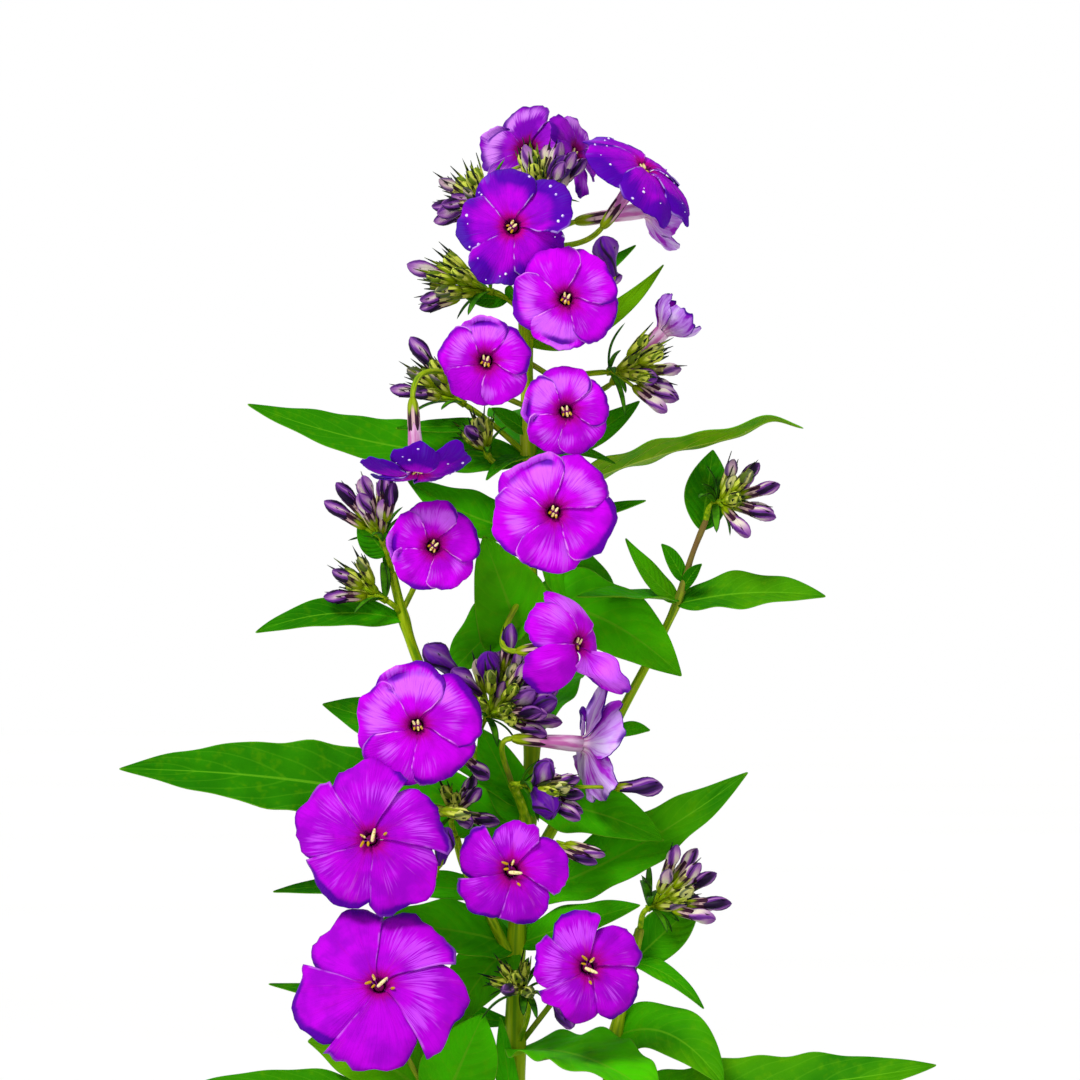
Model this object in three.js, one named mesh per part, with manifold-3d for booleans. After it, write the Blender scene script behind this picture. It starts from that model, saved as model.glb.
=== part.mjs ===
// A garden phlox in bloom, standing in a plain clay pot. Millimetres, +Z up, seen from -Y.
// The origin is the middle of the pot's foot. Three leafy stems stand in holes in the soil.
// Every open flower and every spray of buds is a solid of its own at the end of its stalk.
import * as THREE from "three";
import { mergeVertices } from "three/addons/utils/BufferGeometryUtils.js";
import Module from "manifold-3d";

const wasm = await Module();
wasm.setup();

// ---- driving dimensions -------------------------------------------------------------------

const SEAT_GAP = 0.3; // between a solid and the one that carries it
const MIDDLE_LINE_STEPS = 60;
const SCRAP = 0.5; // a joined solid may drop pieces up to this volume

const POT = {
  height: 136,
  footRadius: 47,
  shoulderRadius: 67,
  rimRadius: 73,
  rimHeight: 26,
  rimSlope: 2,
  wall: 6.5,
  floor: 9,
  sides: 24,
};
const DRAIN = { holes: 3, radius: 4.5, ring: 24, sides: 8 };
const SOIL = { top: 118, mound: 4 };
const HOLE = { clearance: 0.4, sides: 8 }; // round each stem in the soil

const STEM_SIDES = 6;
// A stalk's curve leaves its stem, dips and turns, by these shares of its reach.
const STALK = { radius: 0.8, sides: 4, steps: 3, leave: 0.35, dip: 0.08, turn: 0.4 };
const CALYX = { length: 8, shoulder: 1.6, belly: 1.5, mouth: 1.8 };
const TUBE = { length: 20, radius: 1.5, flare: 3, pit: 2 }; // the flare starts this far down
const PETALS = 5;
const PETAL = {
  thickness: 0.7,
  root: 1.5, // from the middle of the flower
  middle: 0.5, // share of its length where it has a ring of points
  lift: 0.8, // of one edge over the petal's middle line, and of the other below it
  halfAngle: 34, // degrees, leaving a step between two petals
  underTurn: 3, // degrees that the back lies turned, so that the step keeps its thickness
  columns: 4,
};
const LEAF = {
  thickness: 0.7,
  tipWidth: 0.5, // half of it, at the root and at the tip
  fold: 0.14, // rise of each edge as a share of the width
  across: 2,
  stations: [0, 0.12, 0.38, 0.72, 1],
  smallWidth: 12.5, // narrower leaves have fewer stations
  smallStations: [0, 0.4, 1],
};
const BUD = {
  neck: 0.5,
  belly: 1.3, // radius of the smallest bud, which swells as it ripens
  swell: 0.7,
  shortest: 7,
  growth: 6,
  youngest: 0.72, // share of the spray's reach that the smallest bud has
  widest: 0.72, // share of its stalk's length
  sides: 4,
};
const SPRAY_FOOT = { radius: 1.1, length: 3, spread: 0.5, top: 0.8 };
const RIPENESS_SPREAD = 0.7;
const GOLDEN_TURN = Math.PI * (3 - Math.sqrt(5));
const GOLDEN_SHARE = (Math.sqrt(5) - 1) / 2;

const COLOURS = {
  clay: { color: 0xb5643c, roughness: 0.85, metalness: 0 },
  soil: { color: 0x3a281c, roughness: 0.95, metalness: 0 },
  green: { color: 0x3f8f1c, roughness: 0.6, metalness: 0 },
  petal: { color: 0xa312d6, roughness: 0.7, metalness: 0 },
  bud: { color: 0x6f5a4c, roughness: 0.65, metalness: 0 },
};

// ---- the plant's layout -------------------------------------------------------------------

// Each stem and side shoot is a line of points with its radius at the foot and at the tip.
const STEMS = {
  leafy_stem_centre: [
    {
      path: [
        [0, 0, 94], [-1, 0, 150], [-5, 0, 205], [-6, 0, 262],
        [-2, 1, 312], [-2.5, 2, 360], [-3.5, 2, 412], [-5, 3, 442],
      ],
      radius: [2.8, 1.5],
    },
    {
      path: [[-3, 1, 299], [-12, 1, 307], [-24, 1, 321], [-31, -1, 336], [-34.5, -2, 347], [-37, -3, 357]],
      radius: [1.6, 1.2],
    },
    {
      path: [
        [-4, 1, 280], [5, 6, 296], [15, 10, 312], [22, 11, 325],
        [31, 10, 342], [35, 9, 351], [38, 8, 361], [42, 7, 371],
      ],
      radius: [1.7, 1.1],
    },
    { path: [[-6, 0, 258], [-13, -5, 272], [-19, -9, 284], [-21, -11, 291]], radius: [1.4, 1.1] },
    { path: [[-3, 0, 293], [-5, -6, 300], [-7, -11, 304]], radius: [1.3, 1.1] },
  ],
  leafy_stem_left: [
    { path: [[-11, -9, 96], [-14, -10, 150], [-20, -11, 195], [-26, -11, 226]], radius: [2.3, 1.6] },
  ],
  leafy_stem_right: [
    {
      path: [[11, 7, 96], [13, 7, 150], [16, 5, 205], [18, 3, 236], [21.5, 1, 253], [25, -2, 268]],
      radius: [2.4, 1.3],
    },
  ],
};

// Each open flower: the stem that carries it and where its stalk leaves it, its throat, the way
// it faces, its width, its turn about that way and how far its petals bend back, in degrees.
const BLOOMS = [
  {
    name: "bloom_top_front", stem: "leafy_stem_centre", root: [-4.6, 3, 430],
    throat: [-7, -22, 443], facing: [-0.12, -1, 0.12], width: 30.5, turn: 35, bend: 28, notch: 0.86,
  },
  {
    name: "bloom_upper_centre", stem: "leafy_stem_centre", root: [-4, 2, 416],
    throat: [6.5, -26, 425], facing: [0.05, -1, 0.03], width: 26.5, turn: 25, bend: 14, notch: 0.93,
  },
  {
    name: "bloom_upper_left", stem: "leafy_stem_centre", root: [-3.6, 2, 402],
    throat: [-13.5, -24, 409.5], facing: [-0.06, -1, 0.02], width: 23, turn: 43, bend: 14, notch: 0.93,
  },
  {
    name: "bloom_upper_right", stem: "leafy_stem_centre", root: [-3.2, 2, 390],
    throat: [6.5, -23, 397], facing: [0.04, -1, 0.02], width: 22.5, turn: 50, bend: 14, notch: 0.93,
  },
  {
    name: "bloom_middle_centre", stem: "leafy_stem_centre", root: [-2.6, 2, 364],
    throat: [3.5, -30, 372], facing: [0.02, -1, 0.05], width: 30.5, turn: 15, bend: 14, notch: 0.93,
  },
  {
    name: "bloom_middle_left", stem: "leafy_stem_centre", root: [-34.5, -2, 347],
    throat: [-26.5, -24, 363.5], facing: [0.02, -1, 0.05], width: 23, turn: 46, bend: 14, notch: 0.93,
  },
  {
    name: "bloom_lower_left_high", stem: "leafy_stem_centre", root: [-24, 1, 321],
    throat: [-30.5, -33, 319], facing: [0.02, -1, 0.02], width: 32, turn: 42, bend: 14, notch: 0.93,
  },
  {
    name: "bloom_lower_left_wide", stem: "leafy_stem_centre", root: [-21, -11, 290],
    throat: [-42, -39, 291], facing: [-0.08, -1, 0.12], width: 40, turn: 57, bend: 22, notch: 0.8,
  },
  {
    name: "bloom_lower_centre", stem: "leafy_stem_centre", root: [-13, -5, 272],
    throat: [-7, -34, 283], facing: [0.05, -1, 0.1], width: 27.5, turn: 62, bend: 22, notch: 0.8,
  },
  {
    name: "bloom_base_left", stem: "leafy_stem_left", root: [-25, -11, 222],
    throat: [-40, -42, 255], facing: [-0.08, -0.92, 0.36], width: 43, turn: 22, bend: 22, notch: 0.78,
  },
  {
    name: "bloom_base_right", stem: "leafy_stem_centre", root: [-6, 0, 240],
    throat: [12, -33, 259], facing: [0.12, -1, 0.08], width: 28.5, turn: 35, bend: 22, notch: 0.78,
  },
  {
    name: "bloom_crown_left", stem: "leafy_stem_centre", root: [-4.6, 3, 432],
    throat: [-3.5, 30, 463.5], facing: [-0.3, -0.85, 0.42], width: 28, turn: 40, bend: 24, notch: 0.84,
  },
  {
    name: "bloom_crown_right", stem: "leafy_stem_centre", root: [-4.6, 3, 434],
    throat: [9.5, 16, 462], facing: [0.86, -0.4, 0.25], width: 23, turn: 18, bend: 12, notch: 0.84,
  },
  {
    name: "bloom_crown_side_high", stem: "leafy_stem_centre", root: [-4.8, 3, 439],
    throat: [26.7, -6, 458.5], facing: [0.55, -0.34, 0.76], width: 34, turn: 54, bend: 34, notch: 0.72,
  },
  {
    name: "bloom_crown_side_low", stem: "leafy_stem_centre", root: [-4.8, 3, 430],
    throat: [27.5, 16, 448], facing: [0.92, 0.34, 0.16], width: 24, turn: 18, bend: -50, notch: 0.7,
  },
  {
    name: "bloom_right_opening", stem: "leafy_stem_centre", root: [-3.4, 2, 408],
    throat: [32, 8, 418.5], facing: [0.7, 0.02, 0.71], width: 20, turn: 18, bend: -88, notch: 0.8,
  },
  {
    name: "bloom_nodding", stem: "leafy_stem_centre", root: [-3.4, 2, 398],
    throat: [-30.5, -30, 380.8], facing: [0.06, -0.25, -0.96], width: 29, turn: 36, bend: 32, notch: 0.8,
  },
  {
    name: "bloom_turned_left", stem: "leafy_stem_centre", root: [-2.4, 2, 356],
    throat: [11, -33, 338], facing: [0.77, -0.64, 0.1], width: 35, turn: 66, bend: 70, notch: 0.72,
  },
  {
    name: "bloom_turned_right", stem: "leafy_stem_centre", root: [-7, -11, 304],
    throat: [12, -13, 314], facing: [0.94, 0.33, -0.08], width: 33, turn: 54, bend: -35, notch: 0.78,
  },
];

// Each spray: the stem that carries it and where its stalk leaves it, its foot, the way it points,
// how many buds it has, how wide they fan out in degrees, their reach and how ripe they are.
const SPRAYS = [
  {
    name: "buds_crown", stem: "leafy_stem_centre", root: [-5, 3, 442],
    foot: [-1, -2, 448], points: [0.25, -0.25, 1], buds: 9, fan: 44, reach: 18, ripe: 0.32,
  },
  {
    name: "buds_crown_left", stem: "leafy_stem_centre", root: [-4.8, 3, 434],
    foot: [-12, 0, 447], points: [-0.9, -0.1, 0.55], buds: 8, fan: 52, reach: 16, ripe: 0.3,
  },
  {
    name: "buds_upper_left", stem: "leafy_stem_centre", root: [-4, 2, 420],
    foot: [-12, -2, 427], points: [-1, -0.25, 0.25], buds: 9, fan: 38, reach: 21, ripe: 0.14,
  },
  {
    name: "buds_upper_right", stem: "leafy_stem_centre", root: [-3.4, 2, 404],
    foot: [17, -1, 407], points: [1, -0.2, 0.05], buds: 9, fan: 48, reach: 19, ripe: 0.34,
  },
  {
    name: "buds_middle_left_high", stem: "leafy_stem_centre", root: [-3.1, 2, 386],
    foot: [-19, -3, 399], points: [-0.9, -0.2, 0.55], buds: 6, fan: 36, reach: 19, ripe: 0.25,
  },
  {
    name: "buds_middle_left_low", stem: "leafy_stem_centre", root: [-3.1, 2, 386],
    foot: [-13, -3, 386], points: [-0.35, -0.5, 0.9], buds: 5, fan: 34, reach: 12, ripe: 0.2,
  },
  {
    name: "buds_shoot_left", stem: "leafy_stem_centre", root: [-37, -3, 356],
    foot: [-39, -8, 364], points: [-0.4, -0.25, 1], buds: 9, fan: 40, reach: 19, ripe: 0.7,
  },
  {
    name: "buds_shoot_left_low", stem: "leafy_stem_centre", root: [-34.5, -2, 346],
    foot: [-38.5, -5, 350], points: [-0.85, -0.2, 0.45], buds: 5, fan: 38, reach: 17, ripe: 0.35,
  },
  {
    name: "buds_shoot_right", stem: "leafy_stem_centre", root: [42, 7, 370],
    foot: [43.5, 6, 374], points: [0.9, -0.35, 0.3], buds: 9, fan: 62, reach: 16, ripe: 0.65,
  },
  {
    name: "buds_centre", stem: "leafy_stem_centre", root: [-2, 1, 307],
    foot: [-13.5, -9, 320.5], points: [0.65, -0.35, 0.65], buds: 12, fan: 50, reach: 17, ripe: 0.6,
  },
  {
    name: "buds_centre_low", stem: "leafy_stem_centre", root: [-7, -11, 304],
    foot: [-5, -18, 304], points: [0.9, -0.45, -0.15], buds: 8, fan: 28, reach: 17, ripe: 0.65,
  },
  {
    name: "buds_right_low", stem: "leafy_stem_right", root: [25, -2, 268],
    foot: [27, -3.5, 273], points: [0.85, -0.1, 0.45], buds: 10, fan: 54, reach: 19, ripe: 0.75,
  },
  {
    name: "buds_base", stem: "leafy_stem_centre", root: [-6, 0, 240],
    foot: [-4, -13, 252], points: [-0.4, -0.75, 0.5], buds: 6, fan: 52, reach: 13, ripe: 0.1,
  },
  {
    name: "buds_left_inner", stem: "leafy_stem_centre", root: [-21, -11, 291],
    foot: [-22, -14, 296], points: [0.15, -0.5, 0.35], buds: 6, fan: 75, reach: 13, ripe: 0.5,
  },
];

// Each leaf: where it grows and where its tip is, its width, how far its midrib arches up as a
// share of its length, and the way its upper side faces.
const LEAVES = {
  leafy_stem_centre: [
    { from: [-3.5, 2, 413], to: [31, 5, 434], width: 9, arch: -0.14, face: [0.3, -0.8, 0.5] },
    { from: [-4, 3, 424], to: [24, 7, 439], width: 9, arch: -0.08, face: [-0.3, -0.6, 0.7] },
    { from: [-3, 3, 388], to: [25, 13, 400], width: 11, arch: -0.1, face: [0, -0.7, 0.6] },
    { from: [-11, -2, 397], to: [-36, -9, 393], width: 5, arch: 0, face: [0, -0.7, 0.6] },
    { from: [-3, 2, 393], to: [-12, -6, 398], width: 5, arch: 0, face: [0.5, -0.8, 0.3] },
    { from: [-3, 2, 384], to: [-13.5, -12, 380], width: 5.5, arch: 0.1, face: [-0.2, -0.5, 0.9] },
    { from: [-2, 2, 383], to: [19, -10, 384], width: 4.5, arch: 0.1, face: [0, -0.5, 0.8] },
    { from: [-3, 3, 383], to: [-73, -8, 399], width: 15, arch: -0.05, face: [0, -0.75, 0.6] },
    { from: [-2.5, 2, 369], to: [-33, -2, 380], width: 14, arch: -0.06, face: [0.1, -0.75, 0.6] },
    { from: [-2, 3, 372.5], to: [66, -3, 393], width: 15, arch: 0.06, face: [-0.1, 0.28, 0.95] },
    { from: [-2, 2, 370], to: [26.5, -3, 375], width: 7, arch: 0, face: [0, -0.6, 0.8] },
    { from: [-34.5, -2, 345], to: [-71, -12, 342], width: 11, arch: 0.08, face: [0, -0.8, 0.6] },
    { from: [-2, 3, 334], to: [-14, -12, 366], width: 20, arch: 0, face: [0.1, -0.95, 0.2] },
    { from: [-2, 3, 350], to: [-23, -2, 331], width: 17, arch: 0.05, face: [-0.3, -0.85, 0.5] },
    { from: [-2.3, 1, 347], to: [35.5, 2, 331], width: 22, arch: 0.11, face: [0.15, -0.85, 0.5] },
    { from: [-2.3, 3, 366], to: [22, 14, 338], width: 17, arch: 0.06, face: [0.4, -0.85, 0.4] },
    { from: [35, 9, 349], to: [71.5, 3, 351], width: 14, arch: 0.05, face: [0.05, -0.62, 0.75] },
    { from: [35, 9, 350], to: [9, -8, 351], width: 11, arch: 0.02, face: [-0.1, -0.34, 0.94] },
    { from: [35, 9, 350], to: [21.5, 2, 365.5], width: 9, arch: -0.1, face: [0.5, -0.75, 0.4] },
    { from: [40.5, 7.4, 367.5], to: [43.4, 13, 387.7], width: 11.5, arch: 0, face: [0.2, -0.95, 0.1] },
    { from: [35, 9, 355], to: [30.5, 3, 364], width: 7, arch: 0.05, face: [0.3, -0.9, 0.2] },
    { from: [-5, 0, 291], to: [-15, -14, 318], width: 12, arch: 0.04, face: [-0.2, -0.9, 0.2] },
    { from: [-4, 0, 298], to: [-22, -12, 309], width: 8, arch: 0.06, face: [-0.2, -0.85, 0.5] },
    { from: [-3, 2, 292], to: [-105, -12, 308], width: 22, arch: 0.035, face: [0, -0.88, 0.45] },
    { from: [-19, 1, 313], to: [-54.5, 6, 324], width: 14, arch: 0, face: [0.1, -0.85, 0.4] },
    { from: [-3, 0, 300], to: [31, -6, 290], width: 16, arch: 0.06, face: [0.1, -0.85, 0.5] },
    { from: [-5, 2, 276], to: [52, 1, 307], width: 16, arch: -0.05, face: [0, -0.85, 0.5] },
    { from: [-5.5, 1, 266], to: [25, -10, 274], width: 11, arch: 0.02, face: [0.2, -0.8, 0.6] },
    { from: [-6, 1, 273], to: [-67, 8, 277], width: 10, arch: 0.04, face: [0, -0.7, 0.7] },
    { from: [-6, 0, 264], to: [-41, -17, 269], width: 17, arch: 0.04, face: [0, -0.8, 0.6] },
    { from: [-6, 0, 262], to: [-23, -7, 242], width: 17, arch: 0.12, face: [-0.2, -0.85, 0.5] },
    { from: [-6, 0, 247], to: [-68, 6, 254], width: 9, arch: 0, face: [0, -0.7, 0.7] },
    { from: [-5.5, -1, 236], to: [30, -37, 226], width: 27, arch: 0.08, face: [0.2, -0.5, 0.85] },
    { from: [-5, 0, 212], to: [-10, -7, 246], width: 7, arch: 0, face: [-0.4, -0.9, 0] },
    { from: [-5, 1, 212], to: [6, 70, 216], width: 20, arch: 0.14, face: [0, 0.3, 0.9] },
    { from: [-4, 1, 186], to: [52, -40, 172], width: 20, arch: 0.1, face: [0.2, -0.2, 1] },
    { from: [-4, 0, 186], to: [-70, 10, 180], width: 20, arch: 0.16, face: [-0.2, 0, 1] },
    { from: [-1.5, -1, 158], to: [14, -66, 150], width: 18, arch: 0.16, face: [0, -0.2, 1] },
    { from: [-1.5, 1, 158], to: [-22, 64, 152], width: 18, arch: 0.16, face: [0, 0.2, 1] },
    { from: [-6, 2, 262], to: [-20, 62, 274], width: 18, arch: 0.12, face: [0, 0.1, 1] },
    { from: [-2.5, 3, 318], to: [10, 64, 330], width: 17, arch: 0.12, face: [0, 0.1, 1] },
    { from: [-3, 4, 384], to: [-10, 52, 396], width: 14, arch: 0.1, face: [0, 0.1, 1] },
  ],
  leafy_stem_left: [
    { from: [-26, -11, 224], to: [-58, -8, 240], width: 20, arch: 0.1, face: [-0.2, -0.8, 0.6] },
    { from: [-25, -11, 222], to: [-14, -16, 247], width: 19, arch: 0.02, face: [0.2, -0.9, 0.2] },
    { from: [-24, -11, 218], to: [-90, -20, 228], width: 15, arch: 0.05, face: [0, -0.75, 0.6] },
    { from: [-18, -11, 184], to: [-66, -44, 186], width: 19, arch: 0.14, face: [-0.2, -0.2, 1] },
    { from: [-15, -10, 158], to: [-74, 2, 146], width: 18, arch: 0.16, face: [-0.2, 0, 1] },
    { from: [-15, -11, 158], to: [-22, -72, 150], width: 17, arch: 0.14, face: [0, -0.2, 1] },
  ],
  leafy_stem_right: [
    { from: [23, 0, 259], to: [41, -6, 248], width: 7.5, arch: 0.12, face: [0.2, -0.75, 0.6] },
    { from: [23, 1, 259], to: [40, 6, 275], width: 12, arch: 0, face: [0.3, -0.9, 0.2] },
    { from: [19, 2, 241], to: [46, -14, 229], width: 18, arch: 0.2, face: [0.2, -0.8, 0.6] },
    { from: [18, 4, 225], to: [99, -6, 234], width: 20, arch: -0.015, face: [0, -0.75, 0.65] },
    { from: [15, 6, 198], to: [70, -30, 200], width: 19, arch: 0.12, face: [0.2, -0.2, 1] },
    { from: [15, 7, 196], to: [44, 62, 200], width: 19, arch: 0.12, face: [0.1, 0.2, 1] },
    { from: [13, 6, 162], to: [46, -46, 154], width: 17, arch: 0.16, face: [0.1, -0.1, 1] },
    { from: [13, 7, 160], to: [74, 30, 150], width: 17, arch: 0.16, face: [0.2, 0.1, 1] },
  ],
};

// ---- shapes -------------------------------------------------------------------------------

const vector = (point) => new THREE.Vector3(...point);
const radians = THREE.MathUtils.degToRad;

// A closed geometry as a solid that can be joined and cut.
function solidOf(geometry) {
  const bare = geometry.clone();
  bare.deleteAttribute("normal");
  bare.deleteAttribute("uv");
  const merged = mergeVertices(bare, 1e-4);
  return new wasm.Manifold(
    new wasm.Mesh({
      numProp: 3,
      vertProperties: Float32Array.from(merged.attributes.position.array),
      triVerts: Uint32Array.from(merged.index.array),
    }),
  );
}

// A solid as the geometry of a mesh, without scraps that joining may leave.
function geometryOf(name, solid) {
  const [body, ...rest] = solid.decompose().sort((a, b) => b.volume() - a.volume());
  for (const loose of rest.filter((other) => other.volume() > SCRAP)) {
    throw new Error(`${name} has a loose piece at ${loose.boundingBox().min}`);
  }
  const { vertProperties, triVerts } = body.getMesh();
  const geometry = new THREE.BufferGeometry();
  geometry.setAttribute("position", new THREE.BufferAttribute(vertProperties, 3));
  geometry.setIndex(new THREE.BufferAttribute(triVerts, 1));
  geometry.computeVertexNormals();
  return geometry;
}

function unionOf(solids) {
  return wasm.Manifold.union(solids);
}

// A closed skin of rings with a point at each end: placeOf(row, turn) gives the point of ring row,
// counted from 1, at turn, from 0 to 1; rows 0 and rings + 1 are the two end points.
function skin(rings, columns, placeOf) {
  const geometry = new THREE.SphereGeometry(1, columns, rings + 1);
  const position = geometry.attributes.position;
  for (let i = 0; i < position.count; i++) {
    const point = placeOf(Math.floor(i / (columns + 1)), (i % (columns + 1)) % columns);
    position.setXYZ(i, point.x, point.y, point.z);
  }
  return solidOf(geometry);
}

// A rod through points, with its radius at each; a last radius of 0 makes a pointed end.
function rod(points, radii, sides) {
  const rings = radii.filter((radius) => radius > 0).length;
  const last = points.length - 1;
  const directions = points.map((_, i) =>
    points[Math.min(i + 1, last)].clone().sub(points[Math.max(i - 1, 0)]).normalize(),
  );
  const level = Math.abs(directions[0].z) < 0.9 ? new THREE.Vector3(0, 0, 1) : new THREE.Vector3(1, 0, 0);
  return skin(rings, sides, (row, column) => {
    const i = THREE.MathUtils.clamp(row - 1, 0, last);
    if (row === 0 || row === rings + 1) return points[i].clone();
    const angle = (-2 * Math.PI * column) / sides;
    const side = new THREE.Vector3().crossVectors(level, directions[i]).normalize();
    const up = new THREE.Vector3().crossVectors(directions[i], side);
    return points[i]
      .clone()
      .addScaledVector(side, radii[i] * Math.cos(angle))
      .addScaledVector(up, radii[i] * Math.sin(angle));
  });
}

// A thin curved blade: surface(u, v) is its middle, u from 0 to 1 along it and v from -1 to 1
// across it. Both faces are split into triangles alike.
function blade(surface, along, across, thickness) {
  const sheet = new THREE.PlaneGeometry(1, 1, along, across);
  const position = sheet.attributes.position;
  const columns = along + 1;
  for (let i = 0; i < position.count; i++) {
    const point = surface((i % columns) / along, (2 * Math.floor(i / columns)) / across - 1);
    position.setXYZ(i, point.x, point.y, point.z);
  }
  sheet.computeVertexNormals();
  const normal = sheet.attributes.normal;
  const count = position.count;
  const places = new Float32Array(6 * count);
  for (let i = 0; i < count; i++) {
    for (const [axis, get] of ["getX", "getY", "getZ"].entries()) {
      const half = (normal[get](i) * thickness) / 2;
      places[3 * i + axis] = position[get](i) + half;
      places[3 * (count + i) + axis] = position[get](i) - half;
    }
  }
  const faces = [];
  for (let i = 0; i < sheet.index.count; i += 3) {
    const [a, b, c] = [0, 1, 2].map((k) => sheet.index.getX(i + k));
    faces.push(a, b, c, count + a, count + c, count + b);
  }
  const rim = [
    ...Array.from({ length: across }, (_, i) => i * columns),
    ...Array.from({ length: along }, (_, i) => across * columns + i),
    ...Array.from({ length: across }, (_, i) => (across - i) * columns + along),
    ...Array.from({ length: along }, (_, i) => along - i),
  ];
  rim.forEach((p, i) => {
    const q = rim[(i + 1) % rim.length];
    faces.push(q, p, count + p, q, count + p, count + q);
  });
  const geometry = new THREE.BufferGeometry();
  geometry.setAttribute("position", new THREE.BufferAttribute(places, 3));
  geometry.setIndex(faces);
  return solidOf(geometry);
}

// ---- the plant's parts --------------------------------------------------------------------

// The stalk of a flower or spray leaves its stem and turns until it points the right way.
function stalkPoints(root, foot, points, steps) {
  const reach = root.distanceTo(foot);
  const early = root.clone().lerp(foot, STALK.leave).addScaledVector(points, -STALK.dip * reach);
  const late = foot.clone().addScaledVector(points, -STALK.turn * reach);
  return new THREE.CubicBezierCurve3(root, early, late, foot).getPoints(steps);
}

// A flower's stalk with the calyx that it ends in.
function flowerStalk(root, bloom) {
  const { out } = axesOf(bloom.facing);
  const foot = vector(bloom.throat).addScaledVector(out, -TUBE.length);
  const points = stalkPoints(root, foot, out, STALK.steps);
  const radii = points.map(() => STALK.radius);
  for (const [height, radius] of [[CALYX.shoulder, CALYX.belly], [CALYX.length, CALYX.mouth]]) {
    points.push(foot.clone().addScaledVector(out, height));
    radii.push(radius);
  }
  return rod(points, radii, STALK.sides);
}

function sprayStalkPoints(root, row, steps) {
  return stalkPoints(root, vector(row.foot), axesOf(row.points).out, steps);
}

function sprayStalk(root, row) {
  const points = sprayStalkPoints(root, row, STALK.steps);
  return rod(points, points.map(() => STALK.radius), STALK.sides);
}

// A leaf's half width at share t of its length: broad near the base and drawn out to a fine tip.
function leafHalfWidth(width, t) {
  const peak = Math.pow(0.4, 0.6) * Math.pow(0.6, 0.9);
  const share = (Math.pow(t, 0.6) * Math.pow(1 - t, 0.9)) / peak;
  return Math.max(LEAF.tipWidth, (width / 2) * share);
}

function leaf(start, { to, width, arch, face }) {
  const end = vector(to);
  const length = start.distanceTo(end);
  const rise = new THREE.Vector3(0, 0, arch * length * 2);
  const middle = start.clone().lerp(end, 0.5).add(rise);
  const midrib = new THREE.QuadraticBezierCurve3(start, middle, end);
  const upward = vector(face).normalize();
  const stations = width < LEAF.smallWidth ? LEAF.smallStations : LEAF.stations;
  const steps = stations.length - 1;
  const surface = (u, v) => {
    const t = stations[Math.round(u * steps)];
    const along = midrib.getTangentAt(t);
    const across = new THREE.Vector3().crossVectors(upward, along).normalize();
    const over = new THREE.Vector3().crossVectors(along, across).normalize();
    const half = leafHalfWidth(width, t);
    return midrib
      .getPointAt(t)
      .addScaledVector(across, half * v)
      .addScaledVector(over, half * 2 * LEAF.fold * Math.abs(v));
  };
  return blade(surface, steps, LEAF.across, LEAF.thickness);
}

// Right, up and out as a flower shows them to whoever it faces.
function axesOf(facing) {
  const out = vector(facing).normalize();
  const right = new THREE.Vector3(0, 0, 1).cross(out).normalize();
  return { out, right, up: new THREE.Vector3().crossVectors(out, right) };
}

// The corolla is one skin: it starts at the calyx as a narrow tube and opens into five petals,
// each with one edge over the next petal and the other under the one before. Its rings run from
// the tube's foot out along the petals' backs to their ends and back over their faces.
function corolla(bloom) {
  const { out, right, up } = axesOf(bloom.facing);
  const throat = vector(bloom.throat);
  const length = bloom.width / 2 - PETAL.root;
  const arc = radians(bloom.bend);
  const foot = CALYX.length + SEAT_GAP - TUBE.length;
  const rings = [
    { radius: TUBE.radius, height: foot },
    { radius: TUBE.radius, height: -TUBE.flare },
    { share: PETAL.middle, height: -PETAL.thickness },
    { share: 1, height: -PETAL.thickness },
    { share: 1, height: 0 },
    { share: PETAL.middle, height: 0 },
    { radius: PETAL.root, height: 0 },
  ];
  const columns = PETALS * PETAL.columns;
  return skin(rings.length, columns, (row, column) => {
    if (row === 0) return throat.clone().addScaledVector(out, foot);
    if (row === rings.length + 1) return throat.clone().addScaledVector(out, -TUBE.pit);
    const { radius, share, height } = rings[row - 1];
    const across = (2 * (column % PETAL.columns)) / (PETAL.columns - 1) - 1;
    const petal = Math.floor(column / PETAL.columns);
    const under = height < 0 ? PETAL.underTurn : 0;
    const angle = -radians(bloom.turn + (360 * petal) / PETALS - under + PETAL.halfAngle * across);
    let reach = radius;
    let rise = height;
    if (share) {
      const t = share * (1 - (1 - bloom.notch) * share * across ** 2);
      reach = PETAL.root + (length * Math.sin(arc * t)) / arc;
      rise = height - (length * (1 - Math.cos(arc * t))) / arc + PETAL.lift * across * (0.4 + 0.6 * t);
    }
    return throat
      .clone()
      .addScaledVector(right, reach * Math.cos(angle))
      .addScaledVector(up, reach * Math.sin(angle))
      .addScaledVector(out, rise);
  });
}

// How ripe the bud at place i of a spray is, from 0 for a small green one to 1 for a violet one.
function ripenessOf(spray, i) {
  const spread = ((i + 1) * GOLDEN_SHARE) % 1;
  return THREE.MathUtils.clamp(spray.ripe + RIPENESS_SPREAD * (spread - 0.5), 0, 1);
}

// A bud with its stalk, pointed at its tip, from a point in the spray's foot.
function bud(start, points, reach, ripeness) {
  const length = reach * (BUD.youngest + (1 - BUD.youngest) * ripeness);
  const shares = [0, 1 - (BUD.shortest + BUD.growth * ripeness) / length, BUD.widest, 1];
  const places = shares.map((share) => start.clone().addScaledVector(points, share * length));
  return rod(places, [BUD.neck, BUD.neck, BUD.belly + BUD.swell * ripeness, 0], BUD.sides);
}

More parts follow.
